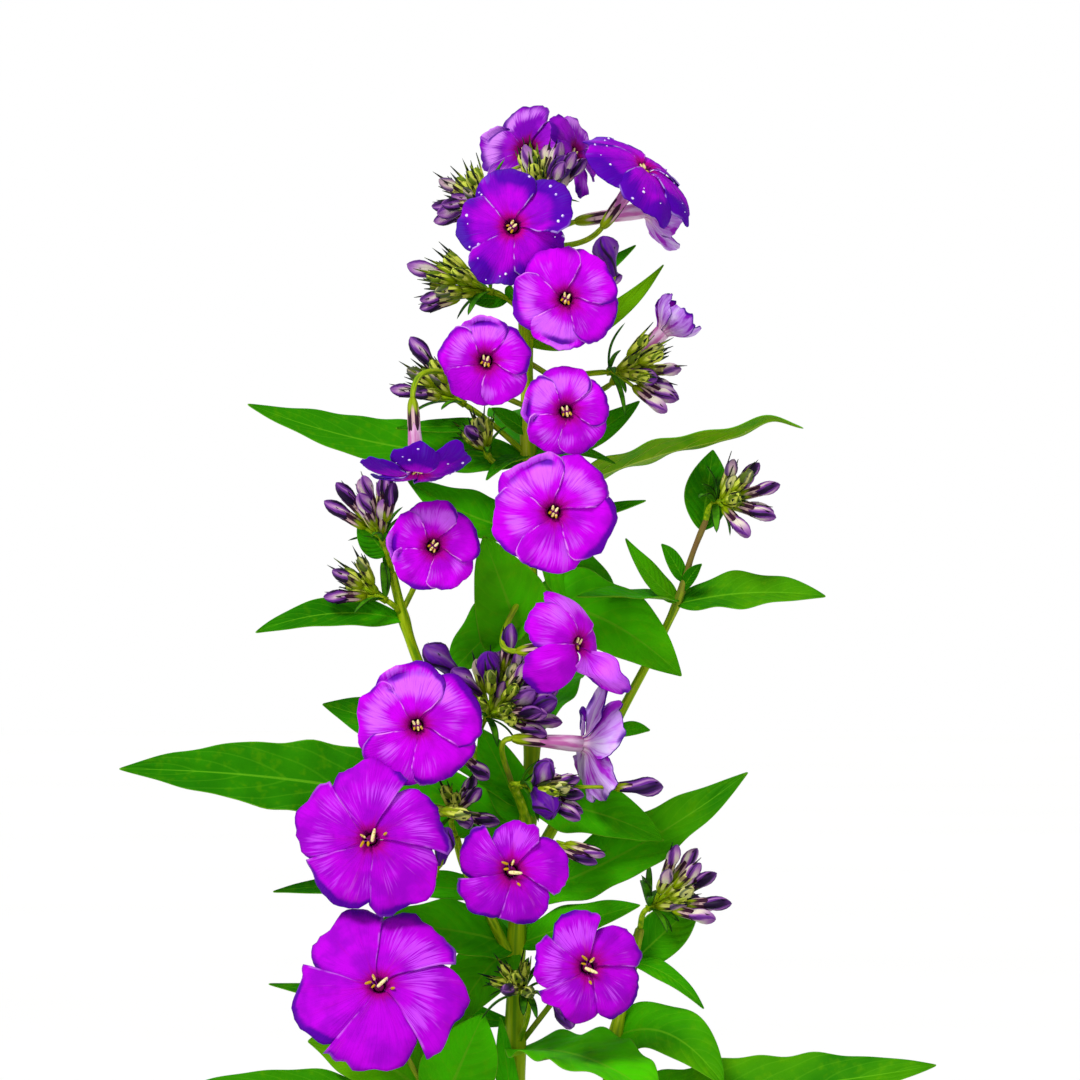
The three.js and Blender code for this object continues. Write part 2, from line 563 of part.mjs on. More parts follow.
// A spray: its buds fan out from a short foot, each turned by the golden angle from the last.
function spray(row) {
  const { out, right, up } = axesOf(row.points);
  const foot = vector(row.foot).addScaledVector(out, SEAT_GAP);
  const core = foot.clone().addScaledVector(out, SPRAY_FOOT.length);
  const buds = Array.from({ length: row.buds }, (_, i) => {
    const lean = radians(row.fan) * Math.sqrt((i + 0.5) / row.buds);
    const turn = i * GOLDEN_TURN;
    const points = out
      .clone()
      .multiplyScalar(Math.cos(lean))
      .addScaledVector(right, Math.sin(lean) * Math.cos(turn))
      .addScaledVector(up, Math.sin(lean) * Math.sin(turn));
    const start = foot.clone().lerp(core, SPRAY_FOOT.top - (SPRAY_FOOT.spread * i) / row.buds);
    return bud(start, points, row.reach, ripenessOf(row, i));
  });
  const { radius } = SPRAY_FOOT;
  return unionOf([rod([foot, core], [radius, radius], BUD.sides), ...buds]);
}

function stemPoints({ path }, steps) {
  return new THREE.CatmullRomCurve3(path.map(vector), false, "centripetal").getPoints(steps);
}

function stemRod(line) {
  const steps = Math.ceil(1.5 * (line.path.length - 1));
  const points = stemPoints(line, steps);
  return rod(points, points.map((_, i) => THREE.MathUtils.lerp(...line.radius, i / steps)), STEM_SIDES);
}

function nearest(points, place) {
  const target = vector(place);
  return points.reduce((a, b) => (a.distanceTo(target) < b.distanceTo(target) ? a : b));
}

// A stem with its side shoots, its leaves, and the stalks and calyxes of what it carries. All
// of them start on the middle line of the stem, a shoot or a spray's stalk.
function leafyStem(name) {
  const blooms = BLOOMS.filter((bloom) => bloom.stem === name);
  const sprays = SPRAYS.filter((row) => row.stem === name);
  const onStems = STEMS[name].flatMap((line) => stemPoints(line, MIDDLE_LINE_STEPS));
  const onStalks = sprays.flatMap((row) =>
    sprayStalkPoints(nearest(onStems, row.root), row, MIDDLE_LINE_STEPS),
  );
  return unionOf([
    ...STEMS[name].map(stemRod),
    ...LEAVES[name].map((row) => leaf(nearest([...onStems, ...onStalks], row.from), row)),
    ...blooms.map((bloom) => flowerStalk(nearest(onStems, bloom.root), bloom)),
    ...sprays.map((row) => sprayStalk(nearest(onStems, row.root), row)),
  ]);
}

// ---- the pot and the soil -----------------------------------------------------------------

// The pot's inner wall leans out from the floor to the rim.
function innerRadius(z) {
  const foot = POT.footRadius - POT.wall;
  const mouth = POT.rimRadius - POT.wall;
  return foot + ((mouth - foot) * (z - POT.floor)) / (POT.height - POT.floor);
}

function lathe(profile, sides) {
  const points = profile.map(([radius, height]) => new THREE.Vector2(radius, height));
  return solidOf(new THREE.LatheGeometry(points, sides).rotateX(Math.PI / 2));
}

function pot() {
  const shoulder = POT.height - POT.rimHeight;
  const body = lathe(
    [
      [0, 0],
      [POT.footRadius, 0],
      [POT.shoulderRadius, shoulder],
      [POT.rimRadius, shoulder + POT.rimSlope],
      [POT.rimRadius, POT.height],
      [innerRadius(POT.height), POT.height],
      [innerRadius(POT.floor), POT.floor],
      [0, POT.floor],
    ],
    POT.sides,
  );
  const drains = Array.from({ length: DRAIN.holes }, (_, i) => {
    const angle = (i * 2 * Math.PI) / DRAIN.holes;
    const drill = new THREE.CylinderGeometry(DRAIN.radius, DRAIN.radius, 4 * POT.floor, DRAIN.sides);
    drill.rotateX(Math.PI / 2);
    drill.translate(DRAIN.ring * Math.cos(angle), DRAIN.ring * Math.sin(angle), 0);
    return solidOf(drill);
  });
  return body.subtract(unionOf(drains));
}

// The soil fills the pot and has a hole for each stem.
function soil() {
  const bottom = POT.floor + SEAT_GAP;
  const edge = innerRadius(SOIL.top) - SEAT_GAP;
  const body = lathe(
    [
      [0, bottom],
      [innerRadius(bottom) - SEAT_GAP, bottom],
      [edge, SOIL.top],
      [edge * 0.5, SOIL.top + 0.7 * SOIL.mound],
      [0, SOIL.top + SOIL.mound],
    ],
    POT.sides,
  );
  const holes = Object.values(STEMS).map(([line]) => {
    const [foot, next] = line.path.map(vector);
    const wide = line.radius[0] + HOLE.clearance;
    return rod([foot.lerp(next, -0.02), next], [wide, wide], HOLE.sides);
  });
  return body.subtract(unionOf(holes));
}

// ---- the assembly -------------------------------------------------------------------------

const plant = new THREE.Group();

function add(name, solid, colour) {
  const mesh = new THREE.Mesh(geometryOf(name, solid), new THREE.MeshStandardMaterial(COLOURS[colour]));
  mesh.name = name;
  plant.add(mesh);
}

add("pot", pot(), "clay");
add("soil", soil(), "soil");
for (const name of Object.keys(STEMS)) add(name, leafyStem(name), "green");
for (const bloom of BLOOMS) add(bloom.name, corolla(bloom), "petal");
for (const row of SPRAYS) add(row.name, spray(row), "bud");

export default plant;
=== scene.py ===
"""A garden phlox in bloom in a clay pot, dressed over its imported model.

Places and sizes are in millimetres in the model's frame: +Z up, seen from -Y, with the origin in
the middle of the pot's foot. Each finished mesh is scaled to metres. Angles are in degrees.
"""

import logging
import math
import random
from collections.abc import Callable
from dataclasses import dataclass, field
from enum import Enum, IntEnum

import bmesh
import bpy
from mathutils import Matrix, Vector, noise


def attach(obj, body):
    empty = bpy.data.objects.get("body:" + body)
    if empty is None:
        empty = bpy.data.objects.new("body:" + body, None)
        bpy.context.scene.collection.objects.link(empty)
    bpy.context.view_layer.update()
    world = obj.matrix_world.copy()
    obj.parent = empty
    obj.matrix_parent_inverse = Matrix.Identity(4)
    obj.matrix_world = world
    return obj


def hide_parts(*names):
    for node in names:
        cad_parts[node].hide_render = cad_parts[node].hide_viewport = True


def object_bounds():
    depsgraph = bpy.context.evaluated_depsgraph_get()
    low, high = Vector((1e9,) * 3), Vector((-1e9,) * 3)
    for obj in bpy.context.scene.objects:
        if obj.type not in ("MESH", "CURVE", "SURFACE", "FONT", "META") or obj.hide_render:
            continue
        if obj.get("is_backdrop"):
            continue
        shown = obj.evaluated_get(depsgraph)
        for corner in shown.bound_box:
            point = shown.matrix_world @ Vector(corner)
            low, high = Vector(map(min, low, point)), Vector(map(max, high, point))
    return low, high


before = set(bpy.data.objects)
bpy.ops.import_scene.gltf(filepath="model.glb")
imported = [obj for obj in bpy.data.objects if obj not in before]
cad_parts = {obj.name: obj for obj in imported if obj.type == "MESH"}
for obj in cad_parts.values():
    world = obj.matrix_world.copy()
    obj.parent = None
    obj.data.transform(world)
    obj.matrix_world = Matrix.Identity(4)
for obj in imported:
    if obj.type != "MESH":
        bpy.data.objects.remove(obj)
MODEL_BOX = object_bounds()

LOG = logging.getLogger("phlox")
MM = 0.001
BODY = "root"
GOLDEN_TURN = math.pi * (3 - math.sqrt(5))
GOLDEN_SHARE = (math.sqrt(5) - 1) / 2
PETALS = 5
PETAL_STEP = 360 / PETALS

Point = tuple[float, float, float]
Colour = tuple[float, float, float, float]
Marks = tuple[float, float, float, float]
Feed = bpy.types.NodeSocket | float | tuple[float, ...]
Sockets = dict[str, bpy.types.NodeSocket]


# ---- small sums ---------------------------------------------------------------------------


def rgb(red: int, green: int, blue: int) -> Colour:
    """A colour from its values on the 0 to 255 scale, as the linear values that a shader takes."""

    def linear(value: float) -> float:
        """One channel without its display curve."""
        return value / 12.92 if value <= 0.04045 else ((value + 0.055) / 1.055) ** 2.4

    return (linear(red / 255), linear(green / 255), linear(blue / 255), 1.0)


def blend(first: float, second: float, share: float) -> float:
    """The value that lies at a share of the way from first to second."""
    return first + (second - first) * share


def ease(value: float, low: float, high: float) -> float:
    """0 up to low and 1 from high on, with a smooth rise between them."""
    share = min(1.0, max(0.0, (value - low) / (high - low)))
    return share * share * (3 - 2 * share)


def hump(value: float, middle: float, width: float) -> float:
    """1 at the middle, falling away on both sides over about the width."""
    return math.exp(-(((value - middle) / width) ** 2))


def towards(angle: float, side: float, width: float) -> float:
    """How far an angle looks to a side: 1 there and 0 past the width, all in degrees."""
    off = abs((angle - side + 180) % 360 - 180)
    return ease(width - off, 0, width)


def bezier(points: list[Vector], share: float) -> Vector:
    """The place at a share of the way along a Bezier curve."""
    while len(points) > 1:
        points = [a.lerp(b, share) for a, b in zip(points, points[1:])]
    return points[0]


def smooth_line(guides: list[Vector], steps: int) -> list[Vector]:
    """A centripetal Catmull-Rom curve through the guide points.

    Args:
        guides: the points that the curve passes.
        steps: how many stretches of equal share the curve is cut into.

    Returns:
        The places along the curve, one more than the steps.
    """
    ends = [2 * guides[0] - guides[1], *guides, 2 * guides[-1] - guides[-2]]
    places = []
    for step in range(steps + 1):
        along = step / steps * (len(guides) - 1)
        leg = min(int(along), len(guides) - 2)
        a, b, c, d = ends[leg : leg + 4]
        ab, bc, cd = (math.sqrt((q - p).length) for p, q in ((a, b), (b, c), (c, d)))
        leave = ((b - a) / ab - (c - a) / (ab + bc) + (c - b) / bc) * bc / 3
        reach = ((c - b) / bc - (d - b) / (bc + cd) + (d - c) / cd) * bc / 3
        places.append(bezier([b, b + leave, c - reach, c], along - leg))
    return places


@dataclass(frozen=True)
class Axes:
    """Right, up and out as a flower or spray shows them to whoever it faces."""

    right: Vector
    up: Vector
    out: Vector

    @classmethod
    def facing(cls, way: Point | Vector) -> "Axes":
        """The axes of a thing that faces a way."""
        out = Vector(way).normalized()
        right = Vector((0, 0, 1)).cross(out).normalized()
        return cls(right, out.cross(right), out)

    def place(self, start: Vector, right: float, up: float, out: float) -> Vector:
        """The point that lies so far to the right, up and out of a start."""
        return start + self.right * right + self.up * up + self.out * out

    def ring(self, start: Vector, radius: float, turn: float, out: float) -> Vector:
        """The point at a turn in radians of the ring that lies so far out of a start."""
        return self.place(start, radius * math.cos(turn), radius * math.sin(turn), out)


UPRIGHT = Axes(Vector((1, 0, 0)), Vector((0, 1, 0)), Vector((0, 0, 1)))


class MiddleLine:
    """The points along the middle of a stem or stalk, each with a frame that twists the least."""

    def __init__(self, points: list[Vector]) -> None:
        """Args:
        points: the middle line, from its foot to its tip.
        """
        self.points = points
        last = len(points) - 1
        self.ways = [
            (points[min(i + 1, last)] - points[max(i - 1, 0)]).normalized() for i in range(last + 1)
        ]
        side = self.ways[0].orthogonal().normalized()
        self.sides = []
        for way in self.ways:
            side = (side - way * side.dot(way)).normalized()
            self.sides.append(side)

    def ring(self, row: int, turn: float, radius: float) -> Vector:
        """The point of a ring round the line, at a turn in radians."""
        side, way = self.sides[row], self.ways[row]
        off = side * math.cos(turn) + way.cross(side) * math.sin(turn)
        return self.points[row] + off * radius

    def nearest(self, place: Vector) -> Vector:
        """The line's point that is closest to a place."""
        return min(self.points, key=lambda point: (point - place).length)


# ---- meshes -------------------------------------------------------------------------------

Place = Callable[[float, float], Vector]
Paint = Callable[[float, float], Marks]
Profile = list[tuple[float, float]]


def even(first: float = 0, second: float = 0, third: float = 0, seed: float = 0) -> Paint:
    """The paint that gives all points of a sheet the same marks."""
    return lambda along, across: (first, second, third, seed)


def settled(name: str, mesh: bmesh.types.BMesh) -> bpy.types.Mesh:
    """The data of a mesh whose construction is over."""
    data = bpy.data.meshes.new(name)
    mesh.to_mesh(data)
    mesh.free()
    return data


def placed(name: str, data: bpy.types.ID) -> bpy.types.Object:
    """A new object of the scene."""
    thing = bpy.data.objects.new(name, data)
    bpy.context.scene.collection.objects.link(thing)
    return thing


class Piece:
    """A mesh under construction, laid down sheet by sheet, and the object that it ends as."""

    UV = "along_across"
    MARKS = "marks"
    WELD = 1e-4

    def __init__(self, name: str, slot: str, finishes: list[bpy.types.Material]) -> None:
        """Args:
        name: the piece's name.
        slot: the name of a material slot; it is kept but not used.
        finishes: its materials, in the order of their numbers.
        """
        self.name = name
        self.slot = slot
        self.finishes = finishes
        self.mesh = bmesh.new()
        self.mesh.loops.layers.uv.new(self.UV)
        self.marks = self.mesh.verts.layers.float_color.new(self.MARKS)

    def sheet(self, rows: int, columns: int, place: Place, paint: Paint, finish: int = 0) -> None:
        """Lays a grid of quads, with its upper side where across turns to along.

        Args:
            rows: how many quads it has along.
            columns: how many quads it has across.
            place: gives a point from its shares along and across.
            paint: gives a point's marks from the same shares.
            finish: the number of its material.
        """
        made = bmesh.ops.create_grid(
            self.mesh, x_segments=columns, y_segments=rows, size=0.5, calc_uvs=True
        )
        for vert in made["verts"]:
            across, along = vert.co.x + 0.5, vert.co.y + 0.5
            vert.co = place(along, across)
            vert[self.marks] = paint(along, across)
            for face in vert.link_faces:
                face.material_index = finish
                face.smooth = True

    def rod(
        self, line: MiddleLine, radius: Callable[[float], float], sides: int, paint: Paint,
        finish: int = 0,
    ) -> None:
        """Lays a closed rod round a middle line.

        Args:
            line: its middle line.
            radius: gives the radius at a share of its length.
            sides: how many sides it has.
            paint: gives a point's marks.
            finish: the number of its material.
        """
        last = len(line.points) - 1

        def place(along: float, across: float) -> Vector:
            """A point of the rod; its first and last rows close the ends."""
            row = round(along * (last + 2)) - 1
            inner = min(max(row, 0), last)
            wide = radius(inner / last) if row == inner else 0.0
            return line.ring(inner, math.tau * across, wide)

        self.sheet(last + 2, sides, place, paint, finish)

    def turned(
        self, foot: Vector, axes: Axes, profile: Profile, sides: int, paint: Paint, finish: int = 0
    ) -> None:
        """Lays a closed turned shape on an axis.

        Args:
            foot: where its axis starts.
            axes: the way it points.
            profile: the height and radius of each ring; the first and last radius are 0.
            sides: how many sides it has.
            paint: gives a point's marks.
            finish: the number of its material.
        """
        last = len(profile) - 1

        def place(along: float, across: float) -> Vector:
            """A point of the turned shape."""
            height, radius = profile[round(along * last)]
            return axes.ring(foot, radius, math.tau * across, height)

        self.sheet(last, sides, place, paint, finish)

    def finished(self, *nodes: str, wall: float = 0.0, levels: int = 1) -> bpy.types.Object:
        """Ends the mesh as an object that rides on the plant.

        Args:
            nodes: the model's solids that it stands for.
            wall: its sheets' thickness, or 0 where they are closed already; the back takes the
                second material and the rim the third.
            levels: how often it is subdivided.

        Returns:
            The object.
        """
        bmesh.ops.remove_doubles(self.mesh, verts=self.mesh.verts, dist=self.WELD)
        bmesh.ops.scale(self.mesh, vec=(MM, MM, MM), verts=self.mesh.verts)
        data = settled(self.name, self.mesh)
        for finish in self.finishes:
            data.materials.append(finish)
        thing = placed(self.name, data)
        if wall:
            shell = thing.modifiers.new("wall", "SOLIDIFY")
            shell.thickness = wall * MM
            shell.offset = -1
            shell.use_even_offset = False
            shell.material_offset = 1
            shell.material_offset_rim = 2
        if levels:
            fine = thing.modifiers.new("smooth", "SUBSURF")
            fine.levels = fine.render_levels = levels
        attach(thing, BODY)
        if nodes:
            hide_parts(*nodes)
        LOG.info("%s: %d faces before it is subdivided", self.name, len(data.polygons))
        return thing


# ---- shader nodes -------------------------------------------------------------------------


class Draft:
    """Adds nodes to a tree and links them as it goes."""

    def __init__(self, tree: bpy.types.NodeTree) -> None:
        """Args:
        tree: the material's or the group's tree.
        """
        self.tree = tree

    def feed(self, socket: bpy.types.NodeSocket, value: Feed) -> None:
        """Links a socket to another, or sets its value."""
        if isinstance(value, bpy.types.NodeSocket):
            self.tree.links.new(value, socket)
        else:
            socket.default_value = value

    def add(
        self, kind: str, feeds: dict[str | int, Feed] | None = None, **settings: object
    ) -> bpy.types.Node:
        """Adds a node.

        Args:
            kind: its type without the ShaderNode at the front.
            feeds: what its inputs take, by name or number.
            settings: its own settings.

        Returns:
            The node.
        """
        node = self.tree.nodes.new("ShaderNode" + kind)
        for name, value in settings.items():
            setattr(node, name, value)
        for key, value in (feeds or {}).items():
            self.feed(node.inputs[key], value)
        return node

    def sum(self, operation: str, *feeds: Feed) -> bpy.types.NodeSocket:
        """A Math node's value."""
        return self.add("Math", dict(enumerate(feeds)), operation=operation).outputs[0]

    def ramp(self, value: Feed, low: float, high: float, top: float = 1.0) -> bpy.types.NodeSocket:
        """0 up to low and the top from high on, with a smooth rise; falls if high is lower."""
        feeds = {"Value": value, "From Min": low, "From Max": high, "To Max": top}
        return self.add("MapRange", feeds, interpolation_type="SMOOTHSTEP").outputs[0]

    def mix(self, share: Feed, first: Feed, second: Feed) -> bpy.types.NodeSocket:
        """A colour that lies at a share of the way from the first to the second."""
        return self.add("Mix", {0: share, 6: first, 7: second}, data_type="RGBA").outputs[2]

    def layers(self, base: Feed, *coats: tuple[Feed, Feed]) -> Feed:
        """A base colour under coats, each given by how well it covers and its own colour."""
        for share, coat in coats:
            base = self.mix(share, base, coat)
        return base

    def vector(self, *parts: Feed) -> bpy.types.NodeSocket:
        """A vector of three values."""
        return self.add("CombineXYZ", dict(enumerate(parts))).outputs[0]

    def noise(self, vector: Feed, scale: Feed, detail: float = 2.0) -> bpy.types.NodeSocket:
        """A soft noise from 0 to 1."""
        feeds = {"Vector": vector, "Scale": scale, "Detail": detail}
        return self.add("TexNoise", feeds).outputs[0]

    def group(self, tree: bpy.types.NodeTree, **feeds: Feed) -> bpy.types.Node:
        """Places a shared effect, with its values by the names of its sockets."""
        node = self.tree.nodes.new("ShaderNodeGroup")
        node.node_tree = tree
        for name, value in feeds.items():
            self.feed(node.inputs[name], value)
        return node


def shared_effect(
    name: str, values: dict[str, float], build: Callable[[Draft, Sockets], Sockets]
) -> bpy.types.NodeTree:
    """Makes a node group of an effect that several finishes use.

    Args:
        name: the group's name.
        values: its inputs with their usual values.
        build: adds its nodes, and gives a socket for each output.

    Returns:
        The group.
    """
    tree = bpy.data.node_groups.new(name, "ShaderNodeTree")
    for key, value in values.items():
        socket = tree.interface.new_socket(key, in_out="INPUT", socket_type="NodeSocketFloat")
        socket.default_value = value
    start = tree.nodes.new("NodeGroupInput")
    made = build(Draft(tree), {key: start.outputs[key] for key in values})
    for key in made:
        tree.interface.new_socket(key, in_out="OUTPUT", socket_type="NodeSocketFloat")
    end = tree.nodes.new("NodeGroupOutput")
    for key, socket in made.items():
        tree.links.new(socket, end.inputs[key])
    return tree


def uv_shares(draft: Draft) -> tuple[bpy.types.NodeSocket, bpy.types.NodeSocket]:
    """How far a point is across and along the sheet that it lies on, from 0 to 1."""
    parts = draft.add("SeparateXYZ", {0: draft.add("TexCoord").outputs["UV"]}).outputs
    return parts[0], parts[1]


def streak_nodes(draft: Draft, given: Sockets) -> Sockets:
    """Soft streaks that run along a sheet: Count of them across, Length of them along."""
    across, along = uv_shares(draft)
    wide = draft.sum("MULTIPLY", across, given["Count"])
    long = draft.sum("MULTIPLY", along, given["Length"])
    seed = draft.sum("MULTIPLY", given["Seed"], 37.0)
    return {"Factor": draft.noise(draft.vector(wide, long, seed), 1.0, 3.0)}


def margin_nodes(draft: Draft, given: Sockets) -> Sockets:
    """A fine line along a sheet's far end and both its sides."""
    across, along = uv_shares(draft)
    from_middle = draft.sum("ABSOLUTE", draft.sum("SUBTRACT", across, 0.5))
    from_sides = draft.sum("SUBTRACT", 0.5, from_middle)
    edge = draft.sum("MINIMUM", from_sides, draft.sum("SUBTRACT", 1.0, along))
    return {"Factor": draft.sum("SUBTRACT", 1.0, draft.sum("DIVIDE", edge, given["Width"]))}


def edge_line_nodes(draft: Draft, given: Sockets) -> Sockets:
    """A broken fine line along a petal's upper side and round its corner."""
    across, along = uv_shares(draft)
    side = draft.sum("MULTIPLY", draft.ramp(across, 0.95, 0.972), draft.ramp(along, 0.12, 0.4))
    corner = draft.sum("MULTIPLY", draft.ramp(along, 0.965, 0.985), draft.ramp(across, 0.66, 0.9))
    seed = draft.sum("MULTIPLY", given["Seed"], 41.0)
    spot = draft.vector(draft.sum("MULTIPLY", along, 4.0), across, seed)
    broken = draft.ramp(draft.noise(spot, 1.0), 0.42, 0.58)
    return {"Factor": draft.sum("MULTIPLY", draft.sum("MAXIMUM", side, corner), broken)}


def vein_nodes(draft: Draft, given: Sockets) -> Sockets:
    """A leaf's midrib and the side veins that arch from it towards the tip."""
    across, along = uv_shares(draft)
    off = draft.sum("ABSOLUTE", draft.sum("MULTIPLY_ADD", across, 2.0, -1.0))
    slant = draft.sum("MULTIPLY", draft.sum("POWER", off, 1.35), given["Slant"])
    count = draft.sum("MULTIPLY_ADD", along, given["Count"], given["Seed"])
    turns = draft.sum("FRACT", draft.sum("SUBTRACT", count, slant))
    from_vein = draft.sum("ABSOLUTE", draft.sum("SUBTRACT", turns, 0.5))
    rib = draft.sum("MULTIPLY_ADD", along, -0.05, 0.075)
    return {
        "Midrib": draft.ramp(draft.sum("DIVIDE", off, rib), 1.0, 0.45),
        "Sides": draft.ramp(from_vein, 0.075, 0.02),
        "Between": draft.ramp(from_vein, 0.0, 0.5),
    }


def stripe_nodes(draft: Draft, given: Sockets) -> Sockets:
    """Stripes that run along a closed skin and wind round it."""
    across, along = uv_shares(draft)
    around = draft.sum("MULTIPLY", across, given["Count"])
    wound = draft.sum("MULTIPLY_ADD", along, given["Twist"], around)
    middle = draft.sum("ABSOLUTE", draft.sum("SUBTRACT", draft.sum("FRACT", wound), 0.5))
    return {"Factor": draft.sum("MULTIPLY", middle, 2.0)}


def mottle_nodes(draft: Draft, given: Sockets) -> Sockets:
    """Soft clouds over a piece, Scale of them to a metre."""
    place = draft.add("TexCoord").outputs["Object"]
    return {"Factor": draft.noise(place, given["Scale"], 3.0)}


STREAKS = shared_effect("streaks", {"Count": 12.0, "Length": 1.5, "Seed": 0.0}, streak_nodes)
MARGIN = shared_effect("margin line", {"Width": 0.02}, margin_nodes)
EDGE_LINE = shared_effect("edge line", {"Seed": 0.0}, edge_line_nodes)
VEINS = shared_effect("leaf veins", {"Count": 9.0, "Slant": 2.4, "Seed": 0.0}, vein_nodes)
STRIPES = shared_effect("stripes", {"Count": 5.0, "Twist": 1.0}, stripe_nodes)
MOTTLE = shared_effect("mottle", {"Scale": 60.0}, mottle_nodes)


# ---- finishes -----------------------------------------------------------------------------


class Finish(Draft):
    """A material in the making: the draft of its nodes, its shader and the marks that it reads."""

    def __init__(self, name: str, roughness: float, gloss: float) -> None:
        """Args:
        name: the material's name.
        roughness: how dull it is.
        gloss: its specular level.
        """
        self.material = bpy.data.materials.new(name)
        self.material.use_nodes = True
        super().__init__(self.material.node_tree)
        self.shader = self.tree.nodes["Principled BSDF"]
        self.shader.inputs["Roughness"].default_value = roughness
        self.shader.inputs["Specular IOR Level"].default_value = gloss

    def read_marks(self) -> tuple[bpy.types.NodeSocket, ...]:
        """The four marks of a point, as Piece.sheet was given them."""
        node = self.add("Attribute", attribute_name=Piece.MARKS)
        parts = self.add("SeparateColor", {0: node.outputs["Color"]})
        return (*parts.outputs, node.outputs["Alpha"])

    def clouds(self, scale: float) -> bpy.types.NodeSocket:
        """Soft clouds over the piece, so many to a metre."""
        return self.group(MOTTLE, Scale=scale).outputs[0]

    def streaks(self, count: float, length: float, seed: Feed) -> bpy.types.NodeSocket:
        """Soft streaks along the sheet, so many across, which change so often along it."""
        return self.group(STREAKS, Count=count, Length=length, Seed=seed).outputs[0]

    def stripes(self, count: float, twist: float) -> bpy.types.NodeSocket:
        """Stripes along a closed skin: how many, and how often they wind round it."""
        return self.group(STRIPES, Count=count, Twist=twist).outputs[0]

    def stirred(self, value: Feed, *noises: tuple[Feed, float]) -> Feed:
        """A value that noises move up and down, each given with its strength."""
        for share, strength in noises:
            value = self.sum("MULTIPLY_ADD", self.sum("SUBTRACT", share, 0.5), strength, value)
        return value

    def dress(
        self, colour: Feed, relief: Feed | None = None, depth: float = 0.0
    ) -> bpy.types.Material:
        """Ends the material.

        Args:
            colour: its base colour.
            relief: the height of its fine relief, from 0 to 1.
            depth: how deep the relief is, in millimetres.

        Returns:
            The material.
        """
        self.feed(self.shader.inputs["Base Color"], colour)
        if relief is not None:
            bump = self.add("Bump", {"Height": relief, "Distance": depth * MM, "Strength": 1.0})
            self.feed(self.shader.inputs["Normal"], bump.outputs[0])
        return self.material


@dataclass(frozen=True)
class PetalFinish:
    """The finish of a flower's petals: their faces, their backs and their edges.

    Spare is how much of the ground the lilac streaks leave bare, crisp how sharp they are, flush
    how far the throat's red runs out, and lined how plain the pale line on a petal's side is.
    Washed is the share of a petal's length about which its lilac lies, shore where its painted
    shade starts.
    """

    name: str
    ground: Colour
    deep: Colour
    lilac: Colour
    # painted shade: the dark blue-violet that stands in for the shade where petals bend back, lie
    # under the next one or fold
    painted_shade: Colour
    throat: Colour
    # painted shade of the throat's pit, at the petals' inner end
    pit_shade: Colour
    edge: Colour
    back: Colour
    back_stripe: Colour
    spare: float
    crisp: float
    flush: float
    lined: float
    washed: float
    shore: float

    PALE = rgb(226, 196, 252)
    TUBE_CREAM = rgb(240, 206, 224)
    TUBE_PINK = rgb(206, 116, 172)

    def face(self) -> bpy.types.Material:
        """The side that shows when the flower is open."""
        draft = Finish(self.name + " face", roughness=0.7, gloss=0.04)
        patch, painted_shade, flush, seed = draft.read_marks()
        broad, fine = draft.streaks(6.0, 1.3, seed), draft.streaks(58.0, 2.4, seed)
        wash = draft.stirred(patch, (broad, 0.8), (fine, self.crisp))
        # the throat's own red flush, and at its core painted shade of the pit
        warm = draft.stirred(flush, (broad, 0.8), (fine, 0.5))
        # painted shade: the second mark darkens rims, overlaps and creases with blue-violet
        shade = draft.stirred(painted_shade, (broad, 0.9), (fine, 0.5))
        colour = draft.layers(
            self.ground,
            (draft.ramp(draft.clouds(160.0), 0.36, 0.66), self.deep),
            (draft.ramp(wash, self.spare, self.spare + 0.62), self.lilac),
            (draft.ramp(fine, 0.47, 0.34, 0.4), self.deep),
            (draft.ramp(warm, self.flush, self.flush + 0.6), self.throat),
            (draft.ramp(warm, 0.78, 1.12), self.pit_shade),
            (draft.ramp(shade, 0.08, 1.0, 0.9), self.painted_shade),
            (self.line(draft, seed), self.edge),
        )
        return draft.dress(colour, fine, depth=0.2)

    def line(self, draft: Finish, seed: Feed) -> bpy.types.NodeSocket:
        """How well the pale line on a petal's side covers it."""
        return draft.sum("MULTIPLY", draft.group(EDGE_LINE, Seed=seed).outputs[0], self.lined)

    def reverse(self) -> bpy.types.Material:
        """The pale back of the petals, which is the tube's outer side as well."""
        draft = Finish(self.name + " back", roughness=0.65, gloss=0.06)
        _, painted_shade, flush, seed = draft.read_marks()
        broad, fine = draft.streaks(5.0, 1.2, seed), draft.streaks(30.0, 1.6, seed)
        tube = draft.mix(draft.ramp(broad, 0.42, 0.6), self.TUBE_CREAM, self.TUBE_PINK)
        colour = draft.layers(
            self.PALE,
            (draft.ramp(broad, 0.34, 0.5), self.back),
            (draft.ramp(broad, 0.5, 0.62), self.back_stripe),
            (draft.ramp(fine, 0.5, 0.36, 0.4), self.back_stripe),
            # painted shade on the backs where the petals bend back
            (draft.ramp(painted_shade, 0.7, 1.5), self.painted_shade),
            (draft.sum("MULTIPLY", flush, 0.9), tube),
        )
        return draft.dress(colour, fine, depth=0.14)

    def rim(self) -> bpy.types.Material:
        """The thin edge between them."""
        draft = Finish(self.name + " edge", roughness=0.65, gloss=0.06)
        _, painted_shade, _, seed = draft.read_marks()
        # painted shade on the petals' edges
        shade = draft.ramp(painted_shade, 0.0, 0.7)
        coats = [(shade, self.painted_shade), (self.line(draft, seed), self.edge)]
        return draft.dress(draft.layers(self.deep, *coats))

    def all_three(self) -> list[bpy.types.Material]:
        """Face, back and edge, in the order that a piece takes them."""
        return [self.face(), self.reverse(), self.rim()]


